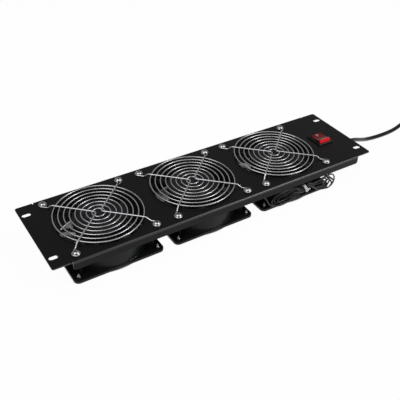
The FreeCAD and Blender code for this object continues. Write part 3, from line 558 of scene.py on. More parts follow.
@dataclass(frozen=True)
class Stacked(Finish):
    """Thin layers along Z, as in a stack of sheets or a winding.

    groove is the brightness between two layers, and groove_levels are the heights of a groove's edges.
    """

    metallic: float = 0.9
    layer: float = 5e-4
    groove: float = 0.5
    groove_levels: tuple[float, float] = (0.02, 0.5)

    def lines(self, builder: MaterialBuilder, place: Socket) -> Number:
        """Returns 1 on a layer and 0 in the groove between two."""
        wave = (builder.axis(place, 2) * (2 * math.pi / self.layer)).sine()
        return (wave * 0.5 + 0.5).step(*self.groove_levels)

    def tint(self, builder: MaterialBuilder, place: Socket) -> object:
        """Returns the colour, darker in the grooves."""
        return builder.mix(self.lines(builder, place), scaled(self.colour, self.groove), self.colour)

    def relief(self, builder: MaterialBuilder, place: Socket) -> Number:
        """Returns the layers' height."""
        return self.lines(builder, place)


@dataclass(frozen=True)
class PaintedGlowRed(Finish):
    """Red moulding with a painted glow and a painted lighter red on its front end, standing in for the
    light that falls there.

    front_edge gives the places along Y between which the front end's painted glow and lighter red fade.
    """

    # painted highlight: lighter red on the front end
    front: Colour = srgb(198, 16, 22)
    # painted glow: emission on the front end, though it is no lamp
    glow: Colour = (0.2, 0.006, 0.008, 1.0)
    front_edge: tuple[float, float] = (-0.0118, -0.0088)

    def light(self, builder: MaterialBuilder, place: Socket) -> Number:
        """Returns 1 at the front end and 0 behind its edge."""
        return 1 - builder.axis(place, 1).step(*self.front_edge)

    def tint(self, builder: MaterialBuilder, place: Socket) -> object:
        """Feeds the painted glow of the front end and mixes in its painted lighter red.

        Args:
            builder: Builder of the material.
            place: Coordinates on the object.

        Returns:
            The deep red of the face and the painted lighter red of the front end.
        """
        share = self.light(builder, place)
        # painted glow on the front end
        builder.set(Emission_Color=builder.mix(share, BLACK, self.glow), Emission_Strength=1.0)
        return builder.mix(share, self.colour, self.front)


class Slot(Enum):
    """Finishes by the record's material slots, with the coves' glossy paint and its painted highlight, and
    the rocker's ink.
    """

    BLACK_STEEL = PowderCoat(srgb(8, 8, 8), 0.36, specular=0.16, grain=3e-5)
    BRIGHT_WIRE = Drawn(srgb(202, 202, 204), 0.22, grain=4e-7, grain_size=8e-4)
    PLATED_SCREW = Drawn(srgb(172, 172, 174), 0.18, grain=1e-6, grain_size=8e-4)
    CAST_FRAME = Casting(srgb(30, 31, 33), 0.36, specular=0.16, grain=6e-5, grain_size=9e-4)
    # painted highlight: the coves are a lighter grey than the frame
    CAST_COVE = Casting(srgb(66, 67, 70), 0.3, coat=1.0, grain=1e-5, grain_size=9e-4)
    FAN_BLADE = Finish(srgb(25, 25, 28), 0.5, specular=0.35, grain_size=4e-4)
    SHAFT_STEEL = Drawn(srgb(200, 200, 204), 0.22, stretch=(1, 1, 8), grain=4e-6)
    BEARING_STEEL = Drawn(srgb(186, 186, 190), 0.28, stretch=(1, 1, 8), grain=6e-6)
    MAGNET = Finish(srgb(92, 92, 94), 0.6, metallic=0.6, grain=4e-5)
    STATOR_STEEL = Stacked(srgb(150, 150, 154), 0.45, grain=8e-5)
    COPPER = Stacked(srgb(196, 116, 66), 0.32, coat=0.3, layer=3.5e-4, grain=1e-4)
    BLACK_WIRE = WavySkin(srgb(9, 9, 10), 0.17, specular=0.4, grain=2e-6, grain_size=1.2e-3)
    WHITE_NYLON = Finish(srgb(222, 222, 218), 0.4, drift=0.05, grain_size=4e-4)
    BLACK_PLASTIC = Finish(srgb(14, 16, 17), 0.28, specular=0.2, grain=8e-6, grain_size=8e-4)
    # painted glow and painted lighter red on the rocker's front end
    RED_PLASTIC = PaintedGlowRed(srgb(98, 7, 7), 0.2, specular=0.2, coat=0.08, grain=1e-6, grain_size=1.2e-3)
    WHITE_INK = Finish(srgb(206, 176, 174), 0.45, drift=0.05, grain=4e-6)
    TINNED_BRASS = Drawn(srgb(205, 198, 176), 0.3, stretch=(1, 1, 6), grain=8e-6)
    NICKEL_PIN = Drawn(srgb(214, 210, 200), 0.2, stretch=(1, 6, 1), grain=6e-6)
    CLEAR_SLEEVE = Finish(srgb(160, 26, 22), 0.22, coat=0.5, grain=1e-5, grain_size=8e-4)
    ZINC = Drawn(srgb(190, 192, 194), 0.34, drift=0.18, drift_size=0.003, grain=1e-5, grain_size=5e-4)


class Paintbox:
    """Builds each finish once and puts it on objects."""

    def __init__(self) -> None:
        """Starts with no material."""
        self.made: dict[Slot, Material] = {}

    def material(self, slot: Slot) -> Material:
        """Builds the slot's material, or finds the one built before.

        Args:
            slot: The slot.

        Returns:
            The material.
        """
        if slot not in self.made:
            self.made[slot] = slot.value.build(slot.name.lower())
        return self.made[slot]

    def dress_nodes(self) -> None:
        """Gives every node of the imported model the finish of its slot."""
        for subpart in frame["record"]["subparts"]:
            node = frame["nodes"][subpart["node"]]
            material = self.material(Slot[subpart["material_slot"].upper()])
            if not node.material_slots:
                node.data.materials.append(material)
            for place in node.material_slots:
                place.material = material
            LOG.info("dressed %s in %s", node.name, material.name)

    def dress(self, piece: Piece, slot: Slot) -> None:
        """Gives a new piece one finish.

        Args:
            piece: The piece.
            slot: Its finish.
        """
        piece.data.materials.clear()
        piece.data.materials.append(self.material(slot))


# Studio


@dataclass(frozen=True)
class SoftBox:
    """Square soft box that faces the tray.

    Its direction is an azimuth from +X and an elevation, in degrees. Its side is
    in metres and its power in watts.
    """

    name: str
    azimuth: float
    elevation: float
    side: float
    power: float

    def add(self, distance: float) -> None:
        """Adds the lamp.

        Args:
            distance: Its distance from the tray in metres.
        """
        around, up = math.radians(self.azimuth), math.radians(self.elevation)
        place = Vector((math.cos(up) * math.cos(around), math.cos(up) * math.sin(around), math.sin(up)))
        data = bpy.data.lights.new(self.name, "AREA")
        data.size = self.side
        data.energy = self.power
        lamp = add_object(self.name, data)
        lamp.location = place * distance
        lamp.rotation_euler = (-place).to_track_quat("-Z", "Y").to_euler()


@dataclass
class Studio:
    """Camera, floor, lamps and world of the photograph.

    Lengths are in metres. The floor's white stops at the shade under the tray, a box
    whose edge fades between shade_blend's two distances, and at the mouths of the fans.
    """

    camera_place: Point = (-0.378296, -0.568814, 0.524191)
    camera_right: Point = (0.8470752, -0.5309696, 0.0231287)
    camera_down: Point = (-0.3057540, -0.5224522, -0.7959637)
    camera_ahead: Point = (0.4347161, 0.6671694, -0.6049024)
    lens: float = 56.0219
    sensor: float = 36.0
    nearest: float = 0.01
    floor_size: float = 14.0
    floor_middle: Point = (0.3, 1.2, -0.0002)
    paper: Colour = srgb(236, 236, 236)
    paper_share: float = 0.97
    shade_middle: tuple[float, float] = (0.005, 0.045)
    shade_half: tuple[float, float] = (0.205, 0.072)
    shade_blend: tuple[float, float] = (-0.04, 0.008)
    mouth_radius: float = 0.06
    mouth_blend: float = 0.002
    sky: float = 0.33
    lamp_distance: float = 1.8
    lamps: tuple[SoftBox, ...] = (
        SoftBox("left_box", 180, 67, 1.3, 11.0),
        SoftBox("right_box", 345, 62, 1.2, 5.0),
        SoftBox("edge_box", 320, 44, 0.6, 6.4))

    def add_camera(self) -> None:
        """Adds the camera at the photograph's place."""
        data = bpy.data.cameras.new("camera")
        data.lens = self.lens
        data.sensor_width = self.sensor
        data.clip_start = self.nearest
        camera = add_object("camera", data)
        up = [-c for c in self.camera_down]
        behind = [-c for c in self.camera_ahead]
        turn = Matrix((self.camera_right, up, behind)).transposed().to_4x4()
        camera.matrix_world = Matrix.Translation(self.camera_place) @ turn
        bpy.context.scene.camera = camera

    def add_floor(self) -> None:
        """Adds a pale floor that reads as a white sweep and keeps a soft shadow."""
        half = self.floor_size / 2
        corners = [(-half, -half, 0), (half, -half, 0), (half, half, 0), (-half, half, 0)]
        mesh = bpy.data.meshes.new("floor")
        mesh.from_pydata(corners, [], [(0, 1, 2, 3)])
        floor = add_object("floor", mesh)
        floor.location = self.floor_middle
        mesh.materials.append(self.floor_finish())

    def floor_finish(self) -> Material:
        """Builds white paper that the camera and bright metal see at full strength.

        Returns:
            The material.
        """
        builder = MaterialBuilder("sweep")
        builder.set(Base_Color=self.paper, Roughness=0.9, Specular_IOR_Level=0.1)
        position = builder.node("ShaderNodeNewGeometry").outputs["Position"]
        x, y = builder.axis(position, 0), builder.axis(position, 1)
        beside = (x - self.shade_middle[0]).size() - self.shade_half[0]
        behind = (y - self.shade_middle[1]).size() - self.shade_half[1]
        white = beside.largest(behind).step(*self.shade_blend)
        for centre in FAN_CENTRES:
            outside = ((x - centre * MM) ** 2 + y ** 2) ** 0.5 - self.mouth_radius
            white = white.smallest(outside.step(-self.mouth_blend, 0.0))
        rays = builder.node("ShaderNodeLightPath").outputs
        seen = Number(builder, rays["Is Camera Ray"]).largest(Number(builder, rays["Is Glossy Ray"]))
        seen = seen.largest(Number(builder, rays["Is Transmission Ray"]))
        glow = builder.node("ShaderNodeEmission", None, {"Color": WHITE, "Strength": 1.0}).outputs[0]
        share = seen * white * self.paper_share
        mixed = builder.node("ShaderNodeMixShader", None,
                             {0: share, 1: builder.shader.outputs[0], 2: glow})
        builder.feed(builder.output.inputs["Surface"], mixed.outputs[0])
        return builder.material

    def add_world(self) -> None:
        """Adds a dim sky that the camera sees as white."""
        world = bpy.data.worlds.new("studio")
        world.use_nodes = True
        builder = NodeBuilder(world.node_tree)
        seen = Number(builder, builder.node("ShaderNodeLightPath").outputs["Is Camera Ray"])
        background = world.node_tree.nodes["Background"]
        builder.feed(background.inputs["Color"], WHITE)
        builder.feed(background.inputs["Strength"], seen * (1 - self.sky) + self.sky)
        bpy.context.scene.world = world

    def build(self) -> None:
        """Builds the whole studio."""
        bpy.context.scene.view_settings.view_transform = "Standard"
        self.add_camera()
        self.add_floor()
        self.add_world()
        for lamp in self.lamps:
            lamp.add(self.lamp_distance)
        LOG.info("studio ready")


# Cord and wiring


class Run(Enum):
    """How a tube's curve goes by its points."""

    THROUGH = "BEZIER"
    BESIDE = "NURBS"


@dataclass(frozen=True)
class Tube:
    """Round wire or cord along one open curve. Sizes are in metres.

    sides is the bevel's resolution, and steps are the pieces of the curve from point to point.
    """

    radius: float
    run: Run
    sides: int
    steps: int = 6

    def build(self, name: str, points: Sequence[Vector]) -> Piece:
        """Makes the curve object.

        Args:
            name: Name of the piece.
            points: Points of its curve.

        Returns:
            The curve object.
        """
        data = bpy.data.curves.new(name, "CURVE")
        data.dimensions = "3D"
        data.bevel_depth = self.radius
        data.bevel_resolution = self.sides
        data.resolution_u = self.steps
        data.use_fill_caps = True
        spline = data.splines.new(self.run.value)
        if self.run is Run.THROUGH:
            spline.bezier_points.add(len(points) - 1)
            for place, point in zip(spline.bezier_points, points):
                place.co = point
                place.handle_left_type = place.handle_right_type = "AUTO"
        else:
            spline.points.add(len(points) - 1)
            for place, point in zip(spline.points, points):
                place.co = (*point, 1.0)
            spline.order_u = 3
            spline.use_endpoint_u = True
        return add_object(name, data)


@dataclass
class PowerCord:
    """Mains cord from its tie under the panel to the wound surplus and the plug.

    Sizes are in millimetres. The coil is wound inwards in the bottom rows and outwards
    in the top rows. A turn moves to the next row from its point shift_point on. The
    climb to the top rows starts climb_lead points before the last bottom row ends and
    takes climb_points, and the last turn has last_points.
    """

    diameter: float = 6.4
    length: float = 1650.0
    route: tuple[Point, ...] = (
        (193.874, -34.495, 33.5), (211.49, -27.378, 33.5), (229, -20.1, 33.2), (248, -12.8, 30.9),
        (267, -7.4, 24.6), (286, -2.2, 15.8), (305, 3.0, 7.6), (325, 5.6, 3.2), (348, 4.6, 3.2),
        (372, 6.2, 3.2), (396, 12.5, 3.2), (417, 18.6, 3.2))
    coil_middle: tuple[float, float] = (436.0, -22.0)
    bottom_rows: tuple[float, ...] = (44.6, 38.2, 31.8, 25.4)
    top_rows: tuple[float, ...] = (28.6, 35.0, 41.4)
    low: float = 3.2
    high: float = 9.7
    first_angle: float = 90.0
    turn_step: float = 30.0
    shift_point: int = 10
    climb_lead: int = 6
    climb_points: int = 4
    last_points: int = 6
    tail: tuple[Point, ...] = ((444.8, -71.7, 11.0),)

    def coil_point(self, angle: float, row: float, level: float) -> Point:
        """Places one control point of the coil.

        Args:
            angle: Place round the coil in degrees.
            row: Radius of the wound turn.
            level: Height of the turn's middle.

        Returns:
            The point, far enough out for its curve to touch the row.
        """
        reach = row / math.cos(math.radians(self.turn_step / 2))
        turn = math.radians(angle)
        x, y = self.coil_middle
        return (x + reach * math.cos(turn), y + reach * math.sin(turn), level)

    def turns(self) -> list[Point]:
        """Winds the bottom rows inwards, climbs, and winds the top rows outwards.

        Returns:
            The control points of all turns.
        """
        points = []
        per_turn = round(360 / self.turn_step)
        rows = [*self.bottom_rows, *self.top_rows]
        climb_start = per_turn * len(self.bottom_rows) - self.climb_lead
        for i in range(per_turn * (len(rows) - 1) + self.last_points):
            lap, place = divmod(i, per_turn)
            row = rows[lap]
            if place >= self.shift_point and lap + 1 < len(rows):
                row += (rows[lap + 1] - row) * (0.5 if place == self.shift_point else 1.0)
            climb = (i - climb_start) / self.climb_points
            level = self.low + (self.high - self.low) * min(max(climb, 0.0), 1.0)
            points.append(self.coil_point(self.first_angle - self.turn_step * i, row, level))
        return points

    def build(self, paintbox: Paintbox) -> None:
        """Args:
            paintbox: Maker of the finishes.
        """
        points = metres([*self.route, *self.turns(), *self.tail])
        cord = Tube(self.diameter / 2 * MM, Run.BESIDE, sides=6).build("mains_cord", points)
        paintbox.dress(cord, Slot.BLACK_WIRE)
        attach(cord, "tray")
        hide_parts("power_cord", "cord_coil")
        LOG.info("mains cord with %d points", len(points))


@dataclass
class LeadHank:
    """Surplus fan lead folded to and fro through its tie under the front fold.

    A point is X and Z in millimetres, Z up from the panel's face, and the strand's
    place in the hank's depth, from -1 at the front to 1 at the back. A row is a pass
    through the tie: its offset across the tie and its place in the depth.
    """

    wire_radius: float = 1.05
    layer: float = 1.1
    tie_half: float = 6.5
    rows: tuple[tuple[float, float], ...] = (
        (-2.9, 1), (2.7, -1), (0.1, 1), (2.9, 1), (-0.1, -1), (-2.8, -1), (1.4, 0), (-1.4, 0))
    lead_in: tuple[Point, ...] = (
        (53, -12, 0.6), (57.3, -17.5, 0), (65.5, -29.8, -0.4), (77.4, -35, -1), (90, -35.6, -1),
        (104, -32.6, -0.4))
    loops: tuple[tuple[Point, ...], ...] = (
        ((146, -30.6, 1), (158, -33.6, 1), (165.4, -33.4, 0.5), (168.8, -28, 0), (168.4, -21, 0),
         (164.5, -17.2, 0.6), (156, -19.8, 1), (143, -21.6, 1)),
        ((108.4, -16.3, -1), (88.4, -13.9, -1), (71.4, -17.2, -1), (66.6, -26.4, -0.6), (74, -32.5, -1),
         (88.4, -33.4, -1), (99.4, -30.6, -1), (109, -24.6, -1)),
        ((146, -20.4, 1), (156, -19.8, 1), (161.8, -20.4, 0.8), (163.8, -24.4, 0), (160, -28.6, -0.6),
         (149, -28.2, -1), (139, -26.6, -1)),
        ((110, -17.6, 1), (92, -17.6, 1), (76.4, -21.4, 1), (72.2, -27, 1), (79.4, -31, 0.6),
         (90, -30.6, 0.4), (101, -26.2, 0.8)),
        ((142, -18.6, -1), (157, -16.2, -1), (170.4, -15.2, -0.5), (177, -20.6, 0), (178.2, -29.4, 0),
         (172.6, -37.2, 0), (161, -36.6, -0.6), (146, -31.6, -1)),
        ((109, -19.5, 0), (93, -20, 0.4), (80, -23.4, 0.4), (77, -27.2, 0), (83, -29.4, -0.4),
         (93, -28.4, -0.4), (102, -25, 0)),
        ((141, -23, 0), (151, -24.4, 0.4), (159, -25, 0.6), (166, -23, 0.2), (166, -17.6, -0.2),
         (159.6, -15.6, -0.6), (150, -17, -1), (140, -20, -1)),
    )

    def strand_point(self, point: Point) -> Point:
        """Returns a point of the hank in the tray's own millimetres."""
        return (point[0], TIE_MIDDLE[1] + self.layer * point[2], PANEL_TOP + point[1])

    def pass_points(self, index: int, rightwards: bool) -> list[Point]:
        """Lays out one straight pass through the tie.

        Args:
            index: Number of the pass.
            rightwards: Whether it goes towards +X.

        Returns:
            Its start and its end, as points of the hank.
        """
        across, depth = self.rows[index]
        slope = math.radians(TIE_SLOPE)
        first = -self.tie_half if rightwards else self.tie_half
        points = []
        for along in (first, -first):
            x = TIE_MIDDLE[0] + along * math.cos(slope) - across * math.sin(slope)
            z = TIE_MIDDLE[2] - PANEL_TOP + along * math.sin(slope) + across * math.cos(slope)
            points.append((x, z, depth))
        return points

    def build(self, paintbox: Paintbox) -> None:
        """Makes the one long wire that is folded into the hank.

        Args:
            paintbox: Maker of the finishes.
        """
        points = list(self.lead_in)
        rightwards = True
        for i, loop in enumerate(self.loops):
            points += [*self.pass_points(i, rightwards), *loop]
            rightwards = not rightwards
        points += self.pass_points(len(self.loops), rightwards)[:1]
        wire = Tube(self.wire_radius * MM, Run.THROUGH, sides=3)
        hank = wire.build("hank_wires", metres([self.strand_point(p) for p in points]))
        paintbox.dress(hank, Slot.BLACK_WIRE)
        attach(hank, "tray")
        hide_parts("lead_hank")
        LOG.info("lead hank with %d points", len(points))


@dataclass
class HankTie:
    """Narrow cable tie round the hank: band, head and cut tail.

    Sizes are in millimetres. inner is half the height and half the depth inside the
    band. Head and tail have their places from the band's middle, before its slope.
    """

    inner: tuple[float, float] = (4.2, 2.3)
    thickness: float = 0.85
    width: float = 3.4
    band_steps: int = 36
    head_size: Point = (4.4, 3.4, 4.2)
    head_place: Point = (0.2, -1.0, -6.2)
    tail_size: Point = (5.6, 1.1, 2.3)
    tail_place: Point = (3.6, -1.2, -7.0)
    tail_turn: float = 48.0
    bevel: float = 0.35

    def add_block(self, work: bmesh.types.BMesh, place: Point, size: Point, turn: float) -> None:
        """Adds one bevelled block.

        Args:
            work: The mesh that is being made.
            place: Its middle.
            size: Its three sides.
            turn: Its turn round Y in degrees.
        """
        turned = Matrix.Translation(place) @ Matrix.Rotation(math.radians(turn), 4, "Y")
        sized = turned @ Matrix.Diagonal((*size, 1))
        corners = bmesh.ops.create_cube(work, size=1.0, matrix=sized)["verts"]
        edges = {edge for corner in corners for edge in corner.link_edges}
        bmesh.ops.bevel(work, geom=list(edges), offset=self.bevel, segments=2, profile=0.5, affect="EDGES")

    def add_band(self, work: bmesh.types.BMesh) -> None:
        """Adds the flat band that goes round the wires.

        Args:
            work: The mesh that is being made.
        """
        section = ((-1, 0), (1, 0), (1, 1), (-1, 1))
        rows = []
        for i in range(self.band_steps):
            angle = 2 * math.pi * i / self.band_steps
            row = []
            for side, out in section:
                high, deep = (r + out * self.thickness for r in self.inner)
                spot = (side * self.width / 2, deep * math.cos(angle), high * math.sin(angle))
                row.append(work.verts.new(spot))
            rows.append(row)
        for i, row in enumerate(rows):
            ahead = rows[(i + 1) % len(rows)]
            for j in range(len(section)):
                k = (j + 1) % len(section)
                work.faces.new((row[j], row[k], ahead[k], ahead[j]))

    def build(self, paintbox: Paintbox) -> None:
        """Makes the tie and sets it round the pinch of the hank.

        Args:
            paintbox: Maker of the finishes.
        """
        work = bmesh.new()
        self.add_band(work)
        self.add_block(work, self.head_place, self.head_size, 0.0)
        self.add_block(work, self.tail_place, self.tail_size, self.tail_turn)
        place = Matrix.Translation(TIE_MIDDLE) @ Matrix.Rotation(math.radians(-TIE_SLOPE), 4, "Y")
        bmesh.ops.transform(work, matrix=Matrix.Scale(MM, 4) @ place, verts=work.verts)
        bmesh.ops.recalc_face_normals(work, faces=work.faces)
        mesh = bpy.data.meshes.new("nylon_tie")
        work.to_mesh(mesh)
        work.free()
        tie = add_object("nylon_tie", mesh)
        paintbox.dress(tie, Slot.WHITE_NYLON)
        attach(tie, "tray")
        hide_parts("hank_tie")
        LOG.info("tie round the hank")


@dataclass
class FrameFillets:
    """Cast coves where each barrel meets its two flanges, a lighter grey than the frame as a painted
    highlight. Sizes are in millimetres.
    """

    barrel_radius: float = 58.5
    barrel_sides: int = 128
    cove: float = 1.15
    cove_steps: int = 6
    sink: float = 0.1

    def section(self) -> Mesh:
        """Draws the cove's section, sunk a little into barrel and flange.

        Returns:
            A ring of edges, out from the barrel along -X and up from the flange along Y.
        """
        outline = [(-self.sink, -self.sink)]
        for i in range(self.cove_steps + 1):
            angle = math.pi / 2 * i / self.cove_steps
            outline.append((self.cove * (1 - math.sin(angle)), self.cove * (1 - math.cos(angle))))
        mesh = bpy.data.meshes.new("cove_section")
        edges = [(i, (i + 1) % len(outline)) for i in range(len(outline))]
        mesh.from_pydata(metres([(-out, up, 0) for out, up in outline]), edges, [])
        return mesh

    def build(self, paintbox: Paintbox) -> None:
        """Sweeps a cove round a barrel, mirrors it to the upper flange and copies both to each fan.

        Args:
            paintbox: Maker of the finishes.
        """
        build = GeometryBuilder("frame_fillet", {
            "Barrel Radius": self.barrel_radius * MM,
            "Lower Level": LOWER_FLANGE * MM, "Upper Level": UPPER_FLANGE * MM})
        ring = build.circle(build.size("Barrel Radius"), self.barrel_sides)
        cove = build.sweep(ring, build.curve(build.entry.outputs["Guide"]))
        low = build.moved(cove, Translation=build.vector(0, 0, build.size("Lower Level")))
        lift = build.vector(0, 0, build.size("Upper Level"))
        high = build.moved(cove, Rotation=(math.pi, 0, 0), Translation=lift)
        row = build.node("GeometryNodeMeshLine", {"mode": "END_POINTS"}, {
            "Count": len(FAN_CENTRES), "Start Location": (FAN_CENTRES[0] * MM, 0, 0),
            "Offset": (FAN_CENTRES[-1] * MM, 0, 0)}).outputs[0]
        # the coves' lighter grey is a painted highlight
        build.finish(build.on_points(row, build.joined(low, high)), paintbox.material(Slot.CAST_COVE))
        fillets = build.bake("frame_fillets", self.section())
        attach(fillets, "tray")
        LOG.info("%s has %d faces", fillets.name, len(fillets.data.polygons))


# Finger guards


def corner_arc(back: Vector, corner: Vector, ahead: Vector, radius: float, steps: int) -> list[Vector]:
    """Rounds one corner of a run of straight lines.

    Args:
        back: The point before the corner.
        corner: The corner.
        ahead: The point after it.
        radius: Radius of the bend.
        steps: Number of pieces of the bend.

    Returns:
        The points of the bend, from its start to its end.
    """
    first = (back - corner).normalized()
    second = (ahead - corner).normalized()
    half = first.angle(second) / 2
    middle = corner + (first + second).normalized() * (radius / math.sin(half))
    reach = radius / math.tan(half)
    start = corner + first * reach - middle
    end = corner + second * reach - middle
    turn = start.angle(end)
    shares = [i / steps for i in range(steps + 1)]
    return [middle + (start * math.sin(turn * (1 - s)) + end * math.sin(turn * s)) / math.sin(turn)
            for s in shares]


@dataclass
class FingerGuards:
    """Three welded wire guards on the panel's face.

    Sizes are in millimetres. A guard has rings of falling radius and two V-shaped legs,
    the second a half turn from the first. The rings' wire lies ring_height above the
    panel. A leg runs from eyelet to eyelet: a foot on the panel, a rise, and a straight
    over the rings to its apex beside the fan's axis.
    """

    rings: int = 8
    ring_radius: float = 56.1
    ring_pitch: float = 6.87
    ring_wire: float = 1.7
    leg_wire: float = 2.0
    ring_height: float = 3.85
    weld_depth: float = 0.15
    apex_offset: float = 2.3
    apex_radius: float = 4.0
    eyelet_radius: float = 4.3
    eyelet_turn: float = 285.0
    foot_length: float = 8.5
    rise_run: float = 6.0
    bend_radius: float = 2.5
    weld_size: Point = (1.15, 1.15, 0.62)
    ring_steps: int = 128
    eyelet_steps: int = 32
    bend_steps: int = 6
    ring_sides: int = 12
    leg_sides: int = 14

    def level(self) -> float:
        """Returns the height of a leg where it lies on the rings."""
        return PANEL_TOP + self.ring_height + (self.ring_wire + self.leg_wire) / 2 - self.weld_depth

    def half_leg(self, side: int) -> tuple[list[Vector], list[Vector]]:
        """Lays out the eyelet and the foot of one half of a leg.

        Args:
            side: 1 for the back half and -1 for the front half.

        Returns:
            The eyelet's points from the leg to its free end, and the leg's corners.
        """
        low = PANEL_TOP + self.leg_wire / 2
        apex = Vector((-self.apex_offset, 0, low))
        centre = Vector((-SCREW_OFFSET, side * SCREW_OFFSET, low))
        away = apex - centre
        start = math.atan2(away.y, away.x) - side * math.acos(self.eyelet_radius / away.length)
        turn = math.radians(self.eyelet_turn)
        eyelet = []
        for i in range(self.eyelet_steps + 1):
            angle = start - side * turn * i / self.eyelet_steps
            eyelet.append(centre + Vector((math.cos(angle), math.sin(angle), 0)) * self.eyelet_radius)
        inward = (apex - eyelet[0]).normalized()
        foot = eyelet[0] + inward * self.foot_length
        crest = foot + inward * self.rise_run
        crest.z = self.level()
        return eyelet, [eyelet[0], foot, crest]

    def leg_points(self) -> list[Vector]:
        """Lays out one leg with its bends rounded.

        Returns:
            The points of its path, from the back eyelet's free end to the front one's.
        """
        back_eyelet, back = self.half_leg(1)
        front_eyelet, front = self.half_leg(-1)
        apex = Vector((-self.apex_offset, 0, self.level()))
        corners = [*back, apex, *reversed(front)]
        path = list(reversed(back_eyelet))
        for i in range(1, len(corners) - 1):
            radius = self.apex_radius if corners[i] is apex else self.bend_radius
            path += corner_arc(corners[i - 1], corners[i], corners[i + 1], radius, self.bend_steps)
        return path + front_eyelet

    def weld_points(self) -> list[Vector]:
        """Finds the places where the legs cross the rings.

        Returns:
            The middles of the weld beads.
        """
        places = []
        height = self.level() - self.leg_wire / 2
        apex = Vector((-self.apex_offset, 0, 0))
        for side in (1, -1):
            _, (_, _, crest) = self.half_leg(side)
            ahead = (Vector((crest.x, crest.y, 0)) - apex).normalized()
            lean = apex.dot(ahead)
            for i in range(self.rings):
                radius = self.ring_radius - self.ring_pitch * i
                reach = -lean + math.sqrt(lean ** 2 + radius ** 2 - apex.length_squared)
                spot = apex + ahead * reach
                places += [Vector((s * spot.x, s * spot.y, height)) for s in (1, -1)]
        return places

    def guide(self) -> Mesh:
        """Makes the guide of the tree.

        Returns:
            A mesh with the leg's path as edges and the welds as marked loose points.
        """
        path = self.leg_points()
        welds = self.weld_points()
        mesh = bpy.data.meshes.new("guard_guide")
        edges = [(i, i + 1) for i in range(len(path) - 1)]
        mesh.from_pydata([p * MM for p in (*path, *welds)], edges, [])
        marks = mesh.attributes.new("weld", "BOOLEAN", "POINT")
        marks.data.foreach_set("value", [False] * len(path) + [True] * len(welds))
        return mesh

    def tree(self, material: Material) -> GeometryBuilder:
        """Builds the guard: rings of falling size, swept legs and weld beads.

        Args:
            material: Finish of the wire.

        Returns:
            The finished tree.
        """
        build = GeometryBuilder("finger_guard", {
            "Centre": 0.0, "Ring Radius": self.ring_radius * MM, "Ring Pitch": self.ring_pitch * MM,
            "Ring Wire": self.ring_wire * MM, "Leg Wire": self.leg_wire * MM,
            "Ring Level": (PANEL_TOP + self.ring_height) * MM})
        row = build.node("GeometryNodeMeshLine", {"mode": "OFFSET"},
                         {"Count": self.rings, "Offset": (0, 0, 0)}).outputs[0]
        place = Number(build, build.node("GeometryNodeInputIndex").outputs[0])
        radius = build.size("Ring Radius") - place * build.size("Ring Pitch")
        circles = build.on_points(row, build.circle(1.0, self.ring_steps),
                                  Scale=build.vector(radius, radius, radius))
        rings = build.sweep(circles, build.circle(build.size("Ring Wire") / 2, self.ring_sides))
        rings = build.moved(rings, Translation=build.vector(0, 0, build.size("Ring Level")))
        weld = build.node("GeometryNodeInputNamedAttribute", {"data_type": "BOOLEAN"}, {"Name": "weld"})
        parted = build.node("GeometryNodeSeparateGeometry", {"domain": "POINT"},
                            {"Geometry": build.entry.outputs["Guide"], "Selection": weld.outputs[0]})
        profile = build.circle(build.size("Leg Wire") / 2, self.leg_sides)
        leg = build.sweep(build.curve(parted.outputs[1]), profile, True)
        legs = build.joined(leg, build.moved(leg, Rotation=(0, 0, math.pi)))
        bead = build.node("GeometryNodeMeshIcoSphere", None, {"Radius": 1.0, "Subdivisions": 2}).outputs[0]
        beads = build.on_points(parted.outputs[0], bead, Scale=tuple(s * MM for s in self.weld_size))
        whole = build.joined(rings, legs, beads)
        build.finish(build.moved(whole, Translation=build.vector(build.size("Centre"), 0, 0)), material)
        return build

    def build(self, paintbox: Paintbox) -> None:
        """Makes one guard over each fan.

        Args:
            paintbox: Maker of the finishes.
        """
        tree = self.tree(paintbox.material(Slot.BRIGHT_WIRE))
        for i, centre in enumerate(FAN_CENTRES):
            guard = tree.bake(f"wire_guard_{i + 1}", self.guide(), {"Centre": centre * MM})
            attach(guard, "tray")
            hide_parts(f"finger_guard_{i + 1}")
            LOG.info("%s has %d faces", guard.name, len(guard.data.polygons))


